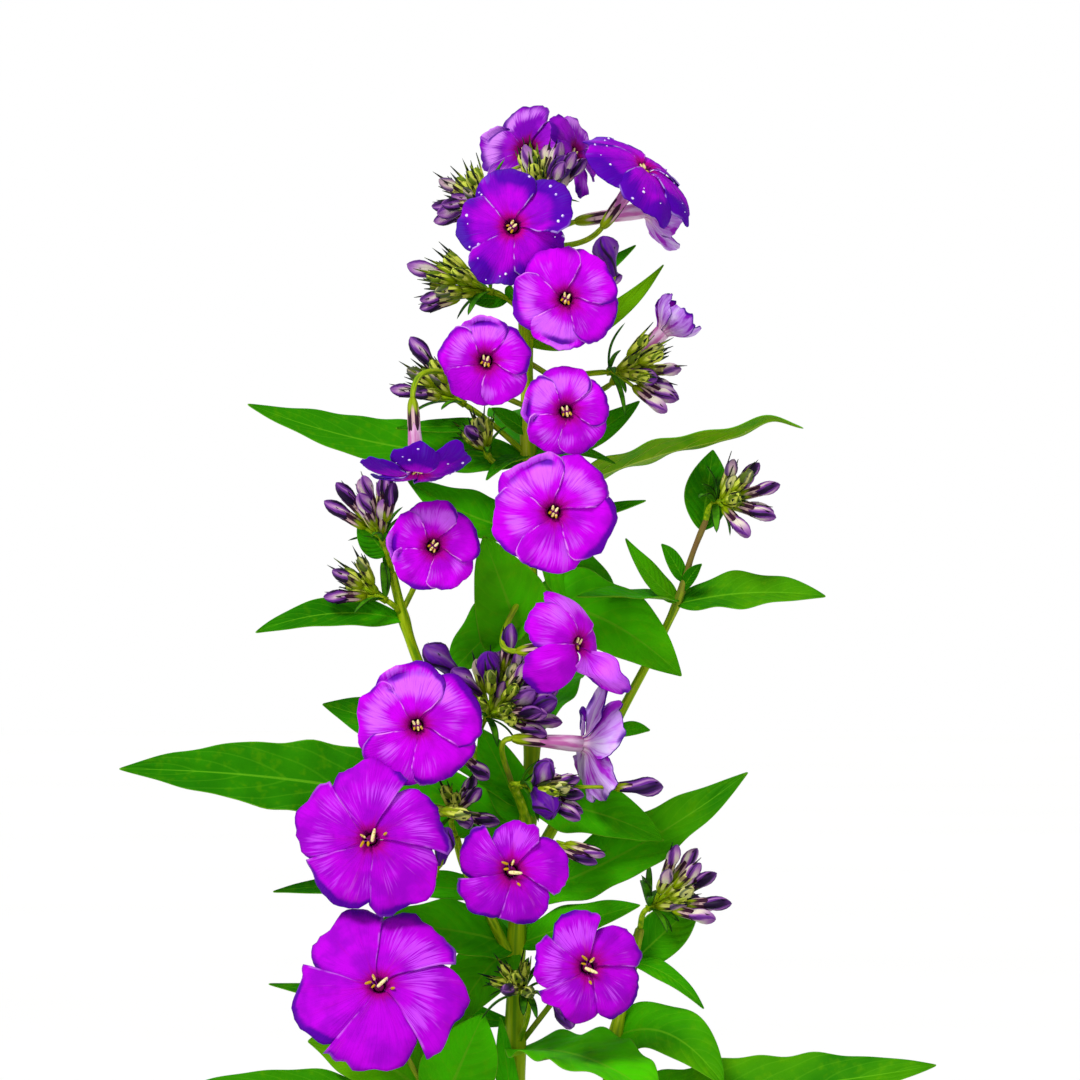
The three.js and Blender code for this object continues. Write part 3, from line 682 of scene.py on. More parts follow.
class Tone(Enum):
    """The finishes of the open flowers: magenta, violet, a blue-violet with much painted shade for
    the flowers in shade, and mauve.
    """

    BRIGHT = PetalFinish(
        "bright petal", ground=rgb(204, 0, 236), deep=rgb(172, 0, 208), lilac=rgb(216, 96, 255),
        painted_shade=rgb(84, 0, 164), throat=rgb(172, 0, 150), pit_shade=rgb(136, 8, 92),
        edge=rgb(246, 150, 255), back=rgb(204, 130, 246), back_stripe=rgb(172, 30, 214),
        spare=0.38, crisp=0.95, flush=0.08, lined=0.8, washed=0.62, shore=0.86,
    )
    DEEP = PetalFinish(
        "deep petal", ground=rgb(184, 0, 218), deep=rgb(152, 0, 194), lilac=rgb(198, 66, 240),
        painted_shade=rgb(70, 0, 152), throat=rgb(166, 0, 140), pit_shade=rgb(104, 2, 84),
        edge=rgb(222, 140, 250), back=rgb(196, 130, 242), back_stripe=rgb(140, 20, 196),
        spare=0.56, crisp=2.1, flush=0.02, lined=0.32, washed=0.56, shore=0.88,
    )
    # painted shade: a copy with darker backs and shade from half a petal's length out, for the
    # flowers that lie in shade
    DUSKY = PetalFinish(
        "dusky petal", ground=rgb(192, 0, 222), deep=rgb(150, 0, 204), lilac=rgb(164, 104, 250),
        painted_shade=rgb(62, 0, 158), throat=rgb(184, 0, 140), pit_shade=rgb(72, 4, 44),
        edge=rgb(222, 190, 255), back=rgb(150, 96, 226), back_stripe=rgb(92, 10, 176),
        spare=0.5, crisp=1.5, flush=0.08, lined=0.6, washed=0.98, shore=0.5,
    )
    MAUVE = PetalFinish(
        "mauve petal", ground=rgb(158, 16, 202), deep=rgb(116, 0, 170), lilac=rgb(204, 124, 234),
        painted_shade=rgb(72, 0, 140), throat=rgb(136, 0, 104), pit_shade=rgb(72, 4, 44),
        edge=rgb(224, 180, 246), back=rgb(210, 150, 248), back_stripe=rgb(178, 36, 216),
        spare=0.36, crisp=0.9, flush=0.08, lined=0.4, washed=0.7, shore=0.7,
    )


@dataclass(frozen=True)
class LeafFinish:
    """The finish of the leaves: their upper sides, their undersides and their edges."""

    ground: Colour = rgb(46, 136, 0)
    shade: Colour = rgb(26, 106, 0)
    young: Colour = rgb(124, 176, 0)
    # painted fill light: the bright green laid on the inner leaves that lie in shade
    young_green_and_fill_light: Colour = rgb(68, 192, 0)
    vein: Colour = rgb(104, 178, 24)
    under: Colour = rgb(124, 170, 4)
    under_vein: Colour = rgb(176, 200, 60)
    edge: Colour = rgb(120, 184, 30)

    def upper(self) -> bpy.types.Material:
        """The side that faces the light; marks hold its tone, youth, painted fill light and seed.
        """
        draft = Finish("leaf upper", roughness=0.65, gloss=0.03)
        tone, youth, painted_fill_light, seed = draft.read_marks()
        veins = draft.group(VEINS, Seed=seed).outputs
        clouds, fine = draft.clouds(60.0), draft.clouds(420.0)
        depth = draft.sum("MULTIPLY_ADD", clouds, 1.4, draft.sum("MULTIPLY_ADD", tone, 0.5, -0.6))
        young_green_and_fill_light = draft.sum("MULTIPLY_ADD", draft.sum("SUBTRACT", 0.45, clouds), 0.7, youth)
        margin = draft.group(MARGIN, Width=0.025).outputs[0]
        colour = draft.layers(
            self.ground,
            (draft.ramp(depth, 0.0, 0.8), self.shade),
            (draft.ramp(young_green_and_fill_light, 0.05, 1.0), self.young),
            # painted fill light on the inner leaves
            (draft.sum("MULTIPLY", painted_fill_light, draft.ramp(clouds, 0.9, 0.25)), self.young_green_and_fill_light),
            (draft.ramp(fine, 0.5, 0.75, 0.16), self.young),
            (draft.sum("MULTIPLY", veins["Sides"], 0.16), self.vein),
            (draft.sum("MULTIPLY", veins["Midrib"], 0.6), self.vein),
            (draft.ramp(margin, 0.0, 1.0, 0.4), self.edge),
        )
        relief = draft.sum("MULTIPLY_ADD", fine, 0.5, veins["Between"])
        return draft.dress(colour, relief, depth=0.13)

    def underside(self) -> bpy.types.Material:
        """The paler side, with its veins raised."""
        draft = Finish("leaf underside", roughness=0.65, gloss=0.06)
        _, _, _, seed = draft.read_marks()
        veins = draft.group(VEINS, Seed=seed).outputs
        colour = draft.layers(
            self.under,
            (draft.ramp(draft.clouds(90.0), 0.35, 0.8), self.ground),
            (draft.sum("MULTIPLY", veins["Sides"], 0.4), self.under_vein),
            (veins["Midrib"], self.under_vein),
        )
        return draft.dress(colour, veins["Sides"], depth=0.2)

    def rim(self) -> bpy.types.Material:
        """The leaf's cut edge."""
        draft = Finish("leaf edge", roughness=0.6, gloss=0.06)
        return draft.dress(draft.mix(draft.clouds(260.0), self.ground, self.edge))

    def all_three(self) -> list[bpy.types.Material]:
        """Upper side, underside and edge, in the order that a piece takes them."""
        return [self.upper(), self.underside(), self.rim()]


@dataclass(frozen=True)
class StemFinish:
    """The finish of stems, shoots and stalks; marks hold how brown a place is."""

    ground: Colour = rgb(156, 186, 0)
    shade: Colour = rgb(98, 146, 0)
    light: Colour = rgb(208, 216, 84)
    brown: Colour = rgb(122, 92, 52)

    def bark(self) -> bpy.types.Material:
        """A green skin with fine streaks along it."""
        draft = Finish("stem", roughness=0.55, gloss=0.1)
        brown, _, _, seed = draft.read_marks()
        streaks = draft.streaks(9.0, 7.0, seed)
        tint = draft.stirred(brown, (draft.clouds(120.0), 0.9))
        colour = draft.layers(
            self.shade,
            (draft.ramp(streaks, 0.35, 0.6), self.ground),
            (draft.ramp(streaks, 0.58, 0.75, 0.7), self.light),
            (draft.ramp(tint, 0.15, 0.95), self.brown),
        )
        return draft.dress(colour, streaks, depth=0.2)


@dataclass(frozen=True)
class CalyxFinish:
    """The finish of the calyxes: five dark ribs that end in teeth, with pale skin between them."""

    dark: Colour = rgb(22, 34, 18)
    green: Colour = rgb(140, 164, 0)
    lime: Colour = rgb(214, 226, 80)
    pink: Colour = rgb(214, 178, 176)
    wine: Colour = rgb(58, 22, 46)
    tooth: Colour = rgb(10, 52, 34)
    brown: Colour = rgb(92, 60, 44)

    def sepal(self) -> bpy.types.Material:
        """Marks hold how ripe the bud is, a place's height in the calyx, and a seed."""
        draft = Finish("calyx", roughness=0.55, gloss=0.1)
        ripe, height, _, seed = draft.read_marks()
        ribs = draft.stripes(5.0, 0.0)
        rib = draft.layers(
            self.dark,
            (draft.ramp(draft.clouds(300.0), 0.5, 0.64), self.green),
            (draft.ramp(ripe, 0.2, 0.6), self.wine),
        )
        edge = draft.stirred(ribs, (draft.streaks(18.0, 1.5, seed), 0.5))
        edge = draft.sum("MULTIPLY_ADD", ripe, 0.3, edge)
        low = draft.sum("MULTIPLY_ADD", ribs, -0.16, height)
        colour = draft.layers(
            self.lime,
            (draft.ramp(ripe, 0.3, 0.75), self.pink),
            (draft.ramp(draft.clouds(420.0), 0.54, 0.64, 0.7), self.brown),
            (draft.ramp(edge, 0.56, 0.72), rib),
            (draft.ramp(low, 0.3, 0.12), self.green),
            (draft.ramp(height, 0.7, 1.0, 0.6), self.tooth),
        )
        return draft.dress(colour, ribs, depth=0.3)


@dataclass(frozen=True)
class BractFinish:
    """The finish of the bracts: green with a dark margin."""

    green: Colour = rgb(76, 148, 10)
    moss: Colour = rgb(34, 96, 8)
    dark: Colour = rgb(24, 28, 16)

    def blade(self) -> bpy.types.Material:
        """Marks hold how far out a place is."""
        draft = Finish("bract", roughness=0.6, gloss=0.08)
        out, _, _, _ = draft.read_marks()
        clouds = draft.clouds(300.0)
        margin = draft.sum("MULTIPLY_ADD", out, 0.35, draft.stripes(2.0, 0.0))
        colour = draft.layers(
            self.green,
            (draft.ramp(clouds, 0.35, 0.65), self.moss),
            (draft.ramp(margin, 0.6, 1.15), self.dark),
        )
        return draft.dress(colour, clouds, depth=0.1)


@dataclass(frozen=True)
class BudFinish:
    """The finish of the buds: rolled petals from yellow-green to dark violet."""

    violet: Colour = rgb(104, 42, 138)
    dark: Colour = rgb(30, 8, 48)
    lilac: Colour = rgb(176, 116, 184)
    cream: Colour = rgb(232, 222, 204)
    lime: Colour = rgb(208, 220, 80)
    moss: Colour = rgb(96, 122, 10)
    bloom: Colour = rgb(84, 0, 146)

    def roll(self) -> bpy.types.Material:
        """Marks hold how ripe the bud is, a place's height on it, how bright it is, and a seed."""
        draft = Finish("bud", roughness=0.5, gloss=0.12)
        ripe, height, bright, seed = draft.read_marks()
        turns, fine = draft.stripes(3.0, 0.8), draft.streaks(24.0, 1.6, seed)
        shift = draft.sum("MULTIPLY_ADD", seed, 0.75, -0.52)
        stripe = draft.sum("ADD", draft.sum("MULTIPLY_ADD", fine, 0.4, turns), shift)
        young = draft.mix(draft.ramp(stripe, 0.4, 0.7), self.lime, self.moss)
        old = draft.layers(
            self.lilac,
            (draft.ramp(height, 0.92, 0.62), self.cream),
            (draft.ramp(stripe, 0.18, 0.4), self.lilac),
            (draft.ramp(stripe, 0.4, 0.6), self.violet),
            (draft.ramp(stripe, 0.74, 0.86), self.dark),
            (draft.ramp(height, 0.8, 1.0, 0.6), self.violet),
        )
        opening = draft.layers(
            self.bloom,
            (draft.ramp(fine, 0.4, 0.7), self.violet),
            (draft.ramp(turns, 0.8, 0.95), self.dark),
        )
        colour = draft.layers(young, (draft.ramp(ripe, 0.24, 0.5), old), (bright, opening))
        return draft.dress(colour, turns, depth=0.3)


@dataclass(frozen=True)
class StamenFinish:
    """The finish of the anthers and their filaments."""

    cream: Colour = rgb(246, 232, 168)
    ochre: Colour = rgb(196, 152, 20)
    filament: Colour = rgb(186, 60, 200)
    # painted shade: the dark of the throat's pit, on the throat's floor
    pit_shade: Colour = rgb(116, 12, 84)

    def anther(self) -> bpy.types.Material:
        """Grainy with pollen; marks hold how ochre an anther is."""
        draft = Finish("anther", roughness=0.7, gloss=0.08)
        ochre, _, _, _ = draft.read_marks()
        grains = draft.clouds(2400.0)
        share = draft.ramp(draft.sum("MULTIPLY_ADD", ochre, 0.4, grains), 0.48, 0.78)
        return draft.dress(draft.mix(share, self.cream, self.ochre), grains, depth=0.1)

    def thread(self) -> bpy.types.Material:
        """The filaments, and the floor of the throat painted dark as the shade of its pit, by their
        marks.
        """
        draft = Finish("filament", roughness=0.6, gloss=0.05)
        # the first mark is 1 on the throat's floor, which takes the painted pit shade
        deep, _, _, _ = draft.read_marks()
        share = draft.sum("MULTIPLY_ADD", draft.clouds(900.0), 0.3, deep)
        return draft.dress(draft.mix(share, self.filament, self.pit_shade))


@dataclass(frozen=True)
class DewFinish:
    """The finish of the dew drops: white beads, a painted glint, that take a little of the petal's
    colour.
    """

    # painted glint: the drops' white
    bright: Colour = rgb(244, 238, 255)
    lilac: Colour = rgb(176, 120, 240)

    def drop(self) -> bpy.types.Material:
        """Painted glints: white in clouds with a little lilac, for the light that the drops catch.
        """
        draft = Finish("dew", roughness=0.15, gloss=0.5)
        share = draft.ramp(draft.clouds(1800.0), 0.45, 0.7)
        return draft.dress(draft.mix(share, self.bright, self.lilac))


@dataclass(frozen=True)
class PotFinish:
    """Fired clay with lime bloom and water stains."""

    clay: Colour = rgb(184, 98, 58)
    burnt: Colour = rgb(150, 72, 42)
    lime: Colour = rgb(214, 178, 150)

    def clay_wall(self) -> bpy.types.Material:
        """The pot's wall: lighter with lime in clouds, with fine turning marks round it."""
        draft = Finish("clay", roughness=0.86, gloss=0.2)
        place = draft.add("TexCoord").outputs["Object"]
        wheel = draft.add("Mapping", {"Vector": place, "Scale": (6.0, 6.0, 900.0)}).outputs[0]
        clouds, grain = draft.clouds(16.0), draft.clouds(700.0)
        patches, specks = draft.ramp(clouds, 0.5, 0.74), draft.ramp(grain, 0.3, 0.6, 0.6)
        colour = draft.layers(
            self.burnt,
            (draft.ramp(clouds, 0.35, 0.65), self.clay),
            (draft.sum("MULTIPLY", patches, specks), self.lime),
            (draft.ramp(grain, 0.55, 0.7, 0.35), self.burnt),
        )
        relief = draft.sum("MULTIPLY_ADD", draft.noise(wheel, 1.0, 1.0), 0.6, grain)
        return draft.dress(colour, relief, depth=0.35)


@dataclass(frozen=True)
class SoilFinish:
    """Dark potting soil with bark and white grit."""

    peat: Colour = rgb(46, 32, 24)
    bark: Colour = rgb(98, 66, 42)
    grit: Colour = rgb(222, 216, 204)

    def crumb(self) -> bpy.types.Material:
        """Marks hold how much a crumb is bark, and whether it is grit."""
        draft = Finish("soil", roughness=0.95, gloss=0.1)
        bark, grit, _, _ = draft.read_marks()
        fine = draft.clouds(1100.0)
        barky = draft.ramp(draft.sum("ADD", fine, bark), 0.5, 1.2)
        return draft.dress(
            draft.layers(self.peat, (barky, self.bark), (grit, self.grit)), fine, depth=0.6
        )


# ---- stems and leaves ---------------------------------------------------------------------


class Carrier(Enum):
    """The leafy stem that a flower, a spray or a leaf grows on."""

    CENTRE = "centre"
    LEFT = "left"
    RIGHT = "right"


@dataclass(frozen=True)
class StemLine:
    """A stem or side shoot: its guide points, its radius at the foot and at the tip, and how brown
    its tip is."""

    path: list[Point]
    radius: tuple[float, float]
    brown: float = 0.0


STEMS = {
    Carrier.CENTRE: [
        StemLine(
            [
                (0, 0, 94), (-1, 0, 150), (-5, 0, 205), (-6, 0, 262),
                (-2, 1, 312), (-2.5, 2, 360), (-3.5, 2, 412), (-5, 3, 442),
            ],
            (2.8, 1.5),
        ),
        StemLine(
            [
                (-3, 1, 299), (-12, 1, 307), (-24, 1, 321),
                (-31, -1, 336), (-34.5, -2, 347), (-37, -3, 357),
            ],
            (1.6, 1.2),
        ),
        StemLine(
            [
                (-4, 1, 280), (5, 6, 296), (15, 10, 312), (22, 11, 325),
                (31, 10, 342), (35, 9, 351), (38, 8, 361), (42, 7, 371),
            ],
            (1.7, 0.62), brown=0.85,
        ),
        StemLine([(-6, 0, 258), (-13, -5, 272), (-19, -9, 284), (-21, -11, 291)], (1.4, 1.1)),
        StemLine([(-3, 0, 293), (-5, -6, 300), (-7, -11, 304)], (1.3, 1.1)),
    ],
    Carrier.LEFT: [
        StemLine([(-11, -9, 96), (-14, -10, 150), (-20, -11, 195), (-26, -11, 226)], (2.3, 1.6)),
    ],
    Carrier.RIGHT: [
        StemLine(
            [(11, 7, 96), (13, 7, 150), (16, 5, 205), (18, 3, 236), (21.5, 1, 253), (25, -2, 268)],
            (2.4, 1.3), brown=0.5,
        ),
    ],
}


@dataclass(frozen=True)
class Leaf:
    """A leaf: where it grows, where its tip is, its width, how far its midrib arches up as a share
    of its length, the way its upper side faces, how young it is, and how far it rises before its
    tip hooks down.

    Fold is a share of its width, and wave, droop and bow are shares of half of it. The inner
    leaves, between the shadow and the crown and near the axis, take the most painted fill light, a
    brighter green for the light that their shade keeps off. Youth gives a yellower green, set
    higher on some leaves in shade, where it is partly painted light.
    """

    start: Point
    tip: Point
    width: float
    arch: float
    face: Point
    young: float = 0.0
    hook: float = 0.0

    FOLD = 0.14
    WAVE = 0.13
    DROOP = 0.1
    BOW = 0.06
    GROOVE = 0.35
    SIDE_SHIFT = 1.7
    WIDE = 14.0
    LONG = 45.0
    FINE_GRID = (30, 10)
    COARSE_GRID = (18, 6)
    WAVE_LENGTHS = (11, 15)
    PETIOLE = 0.8
    POINT = 0.15
    AXIS_X = -5.0
    INNER = 50.0
    CROWN = 388.0
    SHADOW = (200, 232)

    def half_width(self, along: float) -> float:
        """Half the blade's width: broad near the base and drawn out to a fine tip."""
        peak = 0.4**0.6 * 0.6**0.9
        share = along**0.6 * (1 - along) ** 0.9 / peak
        least = blend(self.PETIOLE, self.POINT, ease(along, 0.0, 0.3))
        return max(least, self.width / 2 * share)

    def lay(self, piece: Piece, start: Vector, number: int) -> None:
        """Lays the blade, with its fold, its waved edge and its quilting between the veins.

        Args:
            piece: the leaves' mesh.
            start: the point of the stem that it grows from.
            number: its number on the stem, which seeds its waves.
        """
        tip, upward = Vector(self.tip), Vector(self.face).normalized()
        length = (tip - start).length
        middle = (start + tip) / 2 + Vector((0, 0, self.arch * length * 2))
        curve = [start, middle, tip]
        draw = random.Random(number)
        phase, waves = draw.uniform(0, 6), length / draw.uniform(*self.WAVE_LENGTHS)
        tone, seed = draw.random(), draw.random()
        large = self.width >= self.WIDE or length > self.LONG
        rows, columns = self.FINE_GRID if large else self.COARSE_GRID

        def place(along: float, across: float) -> Vector:
            """A point of the blade's upper side."""
            off = 2 * across - 1
            way = ((middle - start) * (1 - along) + (tip - middle) * along).normalized()
            side = way.cross(upward).normalized()
            over = side.cross(way)
            half = self.half_width(along)
            edge = abs(off) ** 2.2
            turn = math.tau * waves * along + phase + (self.SIDE_SHIFT if off > 0 else 0)
            wave = self.WAVE * half * edge * math.sin(turn) * (1 - along) ** 0.6
            groove = self.GROOVE * hump(off, 0, 0.12) * ease(half, 1, 4)
            rise = half * 2 * self.FOLD * abs(off) ** 1.15 - self.DROOP * half * edge
            rise += wave - groove
            bow = self.BOW * half * math.sin(turn * 0.6 + 1) * edge
            hooked = Vector((0, 0, self.hook * hump(along, 0.88, 0.09)))
            return bezier(curve, along) + hooked + side * (half * off + bow) + over * rise

        def paint(along: float, across: float) -> Marks:
            """Tone, youth, painted fill light on the inner leaves, and seed."""
            spot = bezier(curve, along)
            # painted fill light: most on the inner leaves between the shadow and the crown, near
            # the axis
            painted_fill_light = (0.25 + 0.75 * ease(self.CROWN - spot.z, 0, 25)) * ease(spot.z, *self.SHADOW)
            painted_fill_light *= ease(self.INNER - abs(spot.x - self.AXIS_X), 0, 28)
            return (tone, self.young, painted_fill_light, seed)

        piece.sheet(rows, columns, place, paint)


# young is a yellower green of youth; some leaves in shade take more of it, so there it is partly
# painted light
LEAVES = {
    Carrier.CENTRE: [
        Leaf((-3.5, 2, 413), (31, 5, 434), 6.5, -0.14, (0.3, -0.8, 0.5), young=0.7),
        Leaf((-4, 3, 424), (24, 7, 439), 9, -0.08, (-0.3, -0.6, 0.7)),
        Leaf((-3, 3, 388), (25, 13, 400), 11, -0.1, (0, -0.7, 0.6)),
        Leaf((-9, 0, 423.5), (-18.5, -5, 425.5), 5.5, 0, (0.1, -0.9, 0.3), young=0.1),
        Leaf((-7.5, 0, 422.5), (-7.5, -7, 428.5), 5, 0, (-0.3, -0.9, 0.3), young=0.1),
        Leaf((-11, -2, 397), (-36, -9, 393), 5, 0, (0, -0.7, 0.6)),
        Leaf((-3, 2, 393), (-12, -6, 398), 5, 0, (0.5, -0.8, 0.3)),
        Leaf((-3, 2, 384), (-13.5, -12, 380), 5.5, 0.1, (-0.2, -0.5, 0.9)),
        Leaf((-2, 2, 383), (19, -10, 384), 4.5, 0.1, (0, -0.5, 0.8)),
        Leaf((-3, 3, 383), (-73, -8, 399), 15, -0.05, (0, -0.75, 0.6)),
        Leaf((-2.5, 2, 369), (-33, -2, 380), 14, -0.06, (0.1, -0.75, 0.6)),
        Leaf((-2, 3, 372.5), (66, -3, 392.5), 15, 0.06, (-0.1, 0.28, 0.95), young=0.2, hook=3.2),
        Leaf((-2, 2, 370), (26.5, -3, 375), 7, 0, (0, -0.6, 0.8)),
        Leaf((-34.5, -2, 345), (-71, -12, 342), 9.5, 0.08, (0, -0.8, 0.6)),
        Leaf((-2, 3, 334), (-14, -12, 366), 20, 0, (0.1, -0.95, 0.2), young=0.45),
        Leaf((-2, 3, 350), (-23, -2, 331), 17, 0.05, (-0.3, -0.85, 0.5), young=0.35),
        Leaf((-2.3, 1, 347), (35.5, 2, 331), 22, 0.11, (0.15, -0.85, 0.5), young=0.3),
        Leaf((-2.3, 3, 366), (22, 14, 338), 17, 0.06, (0.4, -0.85, 0.4), young=0.35),
        Leaf((35, 9, 349), (71.5, 3, 351), 14, 0.05, (0.05, -0.62, 0.75), young=0.25),
        Leaf((35, 9, 350), (9, -8, 351), 11, 0.02, (-0.1, -0.34, 0.94)),
        Leaf((35, 9, 350), (21.5, 2, 365.5), 7, -0.1, (0.5, -0.75, 0.4), young=0.45),
        Leaf((40.5, 7.4, 367.5), (43.4, 13, 387.7), 11.5, 0, (0.2, -0.95, 0.1)),
        Leaf((35, 9, 355), (30.5, 3, 364), 4.5, 0.05, (0.3, -0.9, 0.2)),
        Leaf((36.5, 9, 352), (40.3, 3, 359), 3.5, 0.05, (-0.3, -0.9, 0.2)),
        Leaf((18, 10, 317), (27.5, 5, 317.5), 5, 0.05, (0, -0.8, 0.6)),
        Leaf((-39, -7, 361.5), (-45, -10, 371.5), 8, -0.1, (-0.3, -0.9, 0.2)),
        Leaf((-5, 0, 291), (-15, -14, 318), 12, 0.04, (-0.2, -0.9, 0.2)),
        Leaf((-4, 0, 298), (-22, -12, 309), 8, 0.06, (-0.2, -0.85, 0.5)),
        Leaf((-3, 2, 292), (-105, -12, 308), 22, 0.035, (0, -0.88, 0.45)),
        Leaf((-19, 1, 313), (-54.5, 6, 324), 14, 0, (0.1, -0.85, 0.4)),
        Leaf((-3, 0, 300), (31, -6, 290), 16, 0.06, (0.1, -0.85, 0.5), young=0.25),
        Leaf((-5, 2, 276), (52, 1, 307), 16, -0.05, (0, -0.85, 0.5), young=0.25),
        Leaf((-5.5, 1, 266), (25, -10, 274), 11, 0.02, (0.2, -0.8, 0.6), young=0.2),
        Leaf((-6, 1, 273), (-67, 8, 277), 10, 0.04, (0, -0.7, 0.7)),
        Leaf((-6, 0, 264), (-41, -17, 269), 17, 0.04, (0, -0.8, 0.6), young=0.2),
        Leaf((-6, 0, 262), (-23, -7, 242), 17, 0.12, (-0.2, -0.85, 0.5), young=0.4),
        Leaf((-6, 0, 247), (-68, 6, 254), 9, 0, (0, -0.7, 0.7)),
        Leaf((-5.5, -1, 236), (30, -37, 226), 27, 0.08, (0.2, -0.5, 0.85), young=0.35),
        Leaf((-5, 0, 212), (-10, -7, 246), 7, 0, (-0.4, -0.9, 0)),
        Leaf((-5, 1, 212), (6, 70, 216), 20, 0.14, (0, 0.3, 0.9)),
        Leaf((-4, 1, 186), (52, -40, 172), 20, 0.1, (0.2, -0.2, 1)),
        Leaf((-4, 0, 186), (-70, 10, 180), 20, 0.16, (-0.2, 0, 1)),
        Leaf((-1.5, -1, 158), (14, -66, 150), 18, 0.16, (0, -0.2, 1)),
        Leaf((-1.5, 1, 158), (-22, 64, 152), 18, 0.16, (0, 0.2, 1)),
        Leaf((-6, 2, 262), (-20, 62, 274), 18, 0.12, (0, 0.1, 1)),
        Leaf((-2.5, 3, 318), (10, 64, 330), 17, 0.12, (0, 0.1, 1)),
        Leaf((-3, 4, 384), (-10, 52, 396), 14, 0.1, (0, 0.1, 1)),
    ],
    Carrier.LEFT: [
        Leaf((-26, -11, 224), (-58, -8, 240), 20, 0.1, (-0.2, -0.8, 0.6), young=0.5),
        Leaf((-25, -11, 222), (-14, -16, 247), 19, 0.02, (0.2, -0.9, 0.2), young=0.3),
        Leaf((-24, -11, 218), (-90, -20, 228), 15, 0.05, (0, -0.75, 0.6), young=0.2),
        Leaf((-18, -11, 184), (-66, -44, 186), 19, 0.14, (-0.2, -0.2, 1)),
        Leaf((-15, -10, 158), (-74, 2, 146), 18, 0.16, (-0.2, 0, 1)),
        Leaf((-15, -11, 158), (-22, -72, 150), 17, 0.14, (0, -0.2, 1)),
    ],
    Carrier.RIGHT: [
        Leaf((23, 0, 259), (41, -6, 248), 5.8, 0.12, (0.2, -0.75, 0.6)),
        Leaf((23, 1, 259), (40, 6, 275), 12, 0, (0.3, -0.9, 0.2), young=0.25),
        Leaf((19, 2, 241), (46, -14, 229), 18, 0.2, (0.2, -0.8, 0.6), young=0.25),
        Leaf((18, 4, 225), (99, -6, 234), 20, -0.015, (0, -0.75, 0.65), young=0.25),
        Leaf((15, 6, 198), (70, -30, 200), 19, 0.12, (0.2, -0.2, 1)),
        Leaf((15, 7, 196), (44, 62, 200), 19, 0.12, (0.1, 0.2, 1)),
        Leaf((13, 6, 162), (46, -46, 154), 17, 0.16, (0.1, -0.1, 1)),
        Leaf((13, 7, 160), (74, 30, 150), 17, 0.16, (0.2, 0.1, 1)),
    ],
}


# ---- flowers ------------------------------------------------------------------------------


class BloomKind(Enum):
    """The four ways in which the open flowers are cut."""

    ROUND = "round"
    LOBED = "lobed"
    WIDE = "wide"
    TURNED = "turned"


@dataclass(frozen=True)
class Cut:
    """How the petals of one kind of flower are cut.

    The half angles are those at the throat and from mid-length on, and loose is how much they and
    the petals' places vary. The corner is the share by which the petal is shorter there, and
    roundness keeps its end full before the corner. Uneven is how much the petals' lengths differ,
    and ragged how uneven each one's margin is. Swirl is how far a petal sweeps round, in degrees.
    Skew is how much of the corner that lies on top is filled and how much more of the other, which
    gets less round as well, is cut away.
    """

    throat_angle: float
    half_angle: float
    loose: float
    corner: float
    roundness: float
    ruffle: float
    uneven: float
    ragged: float
    swirl: float
    skew: float = 0.0


CUTS = {
    BloomKind.ROUND: Cut(36.5, 52, 3.0, 0.36, 4.0, 0.6, 0.035, 0.06, 8),
    BloomKind.WIDE: Cut(36.5, 44, 5.0, 0.3, 3.4, 0.9, 0.07, 0.07, 5, 0.3),
    BloomKind.TURNED: Cut(36.5, 44, 4.0, 0.4, 3.0, 0.8, 0.06, 0.07, 4),
    BloomKind.LOBED: Cut(36.5, 46, 4.0, 0.4, 3.0, 0.8, 0.06, 0.07, 4, 0.1),
}


@dataclass(frozen=True)
class Anther:
    """An anther in a throat: where it starts, the way it leans, its length, and how ochre it is."""

    start: Point
    lean: tuple[float, float]
    length: float
    ochre: float


@dataclass(frozen=True)
class Stray:
    """A petal that is thrown forward or back on its own, rolled about its middle line, stretched
    and paler."""

    number: int
    bend: float
    roll: float
    stretch: float = 1.0
    pale: float = 0.0


class Layer(IntEnum):
    """The layers of a petal's own noise."""

    MARGIN = 1
    FRAY = 2
    WAVE = 3
    CRUMPLE = 4
    CURL = 5
    WASH = 6
    SHORE = 7
    PATCH = 8
    CREASE = 9


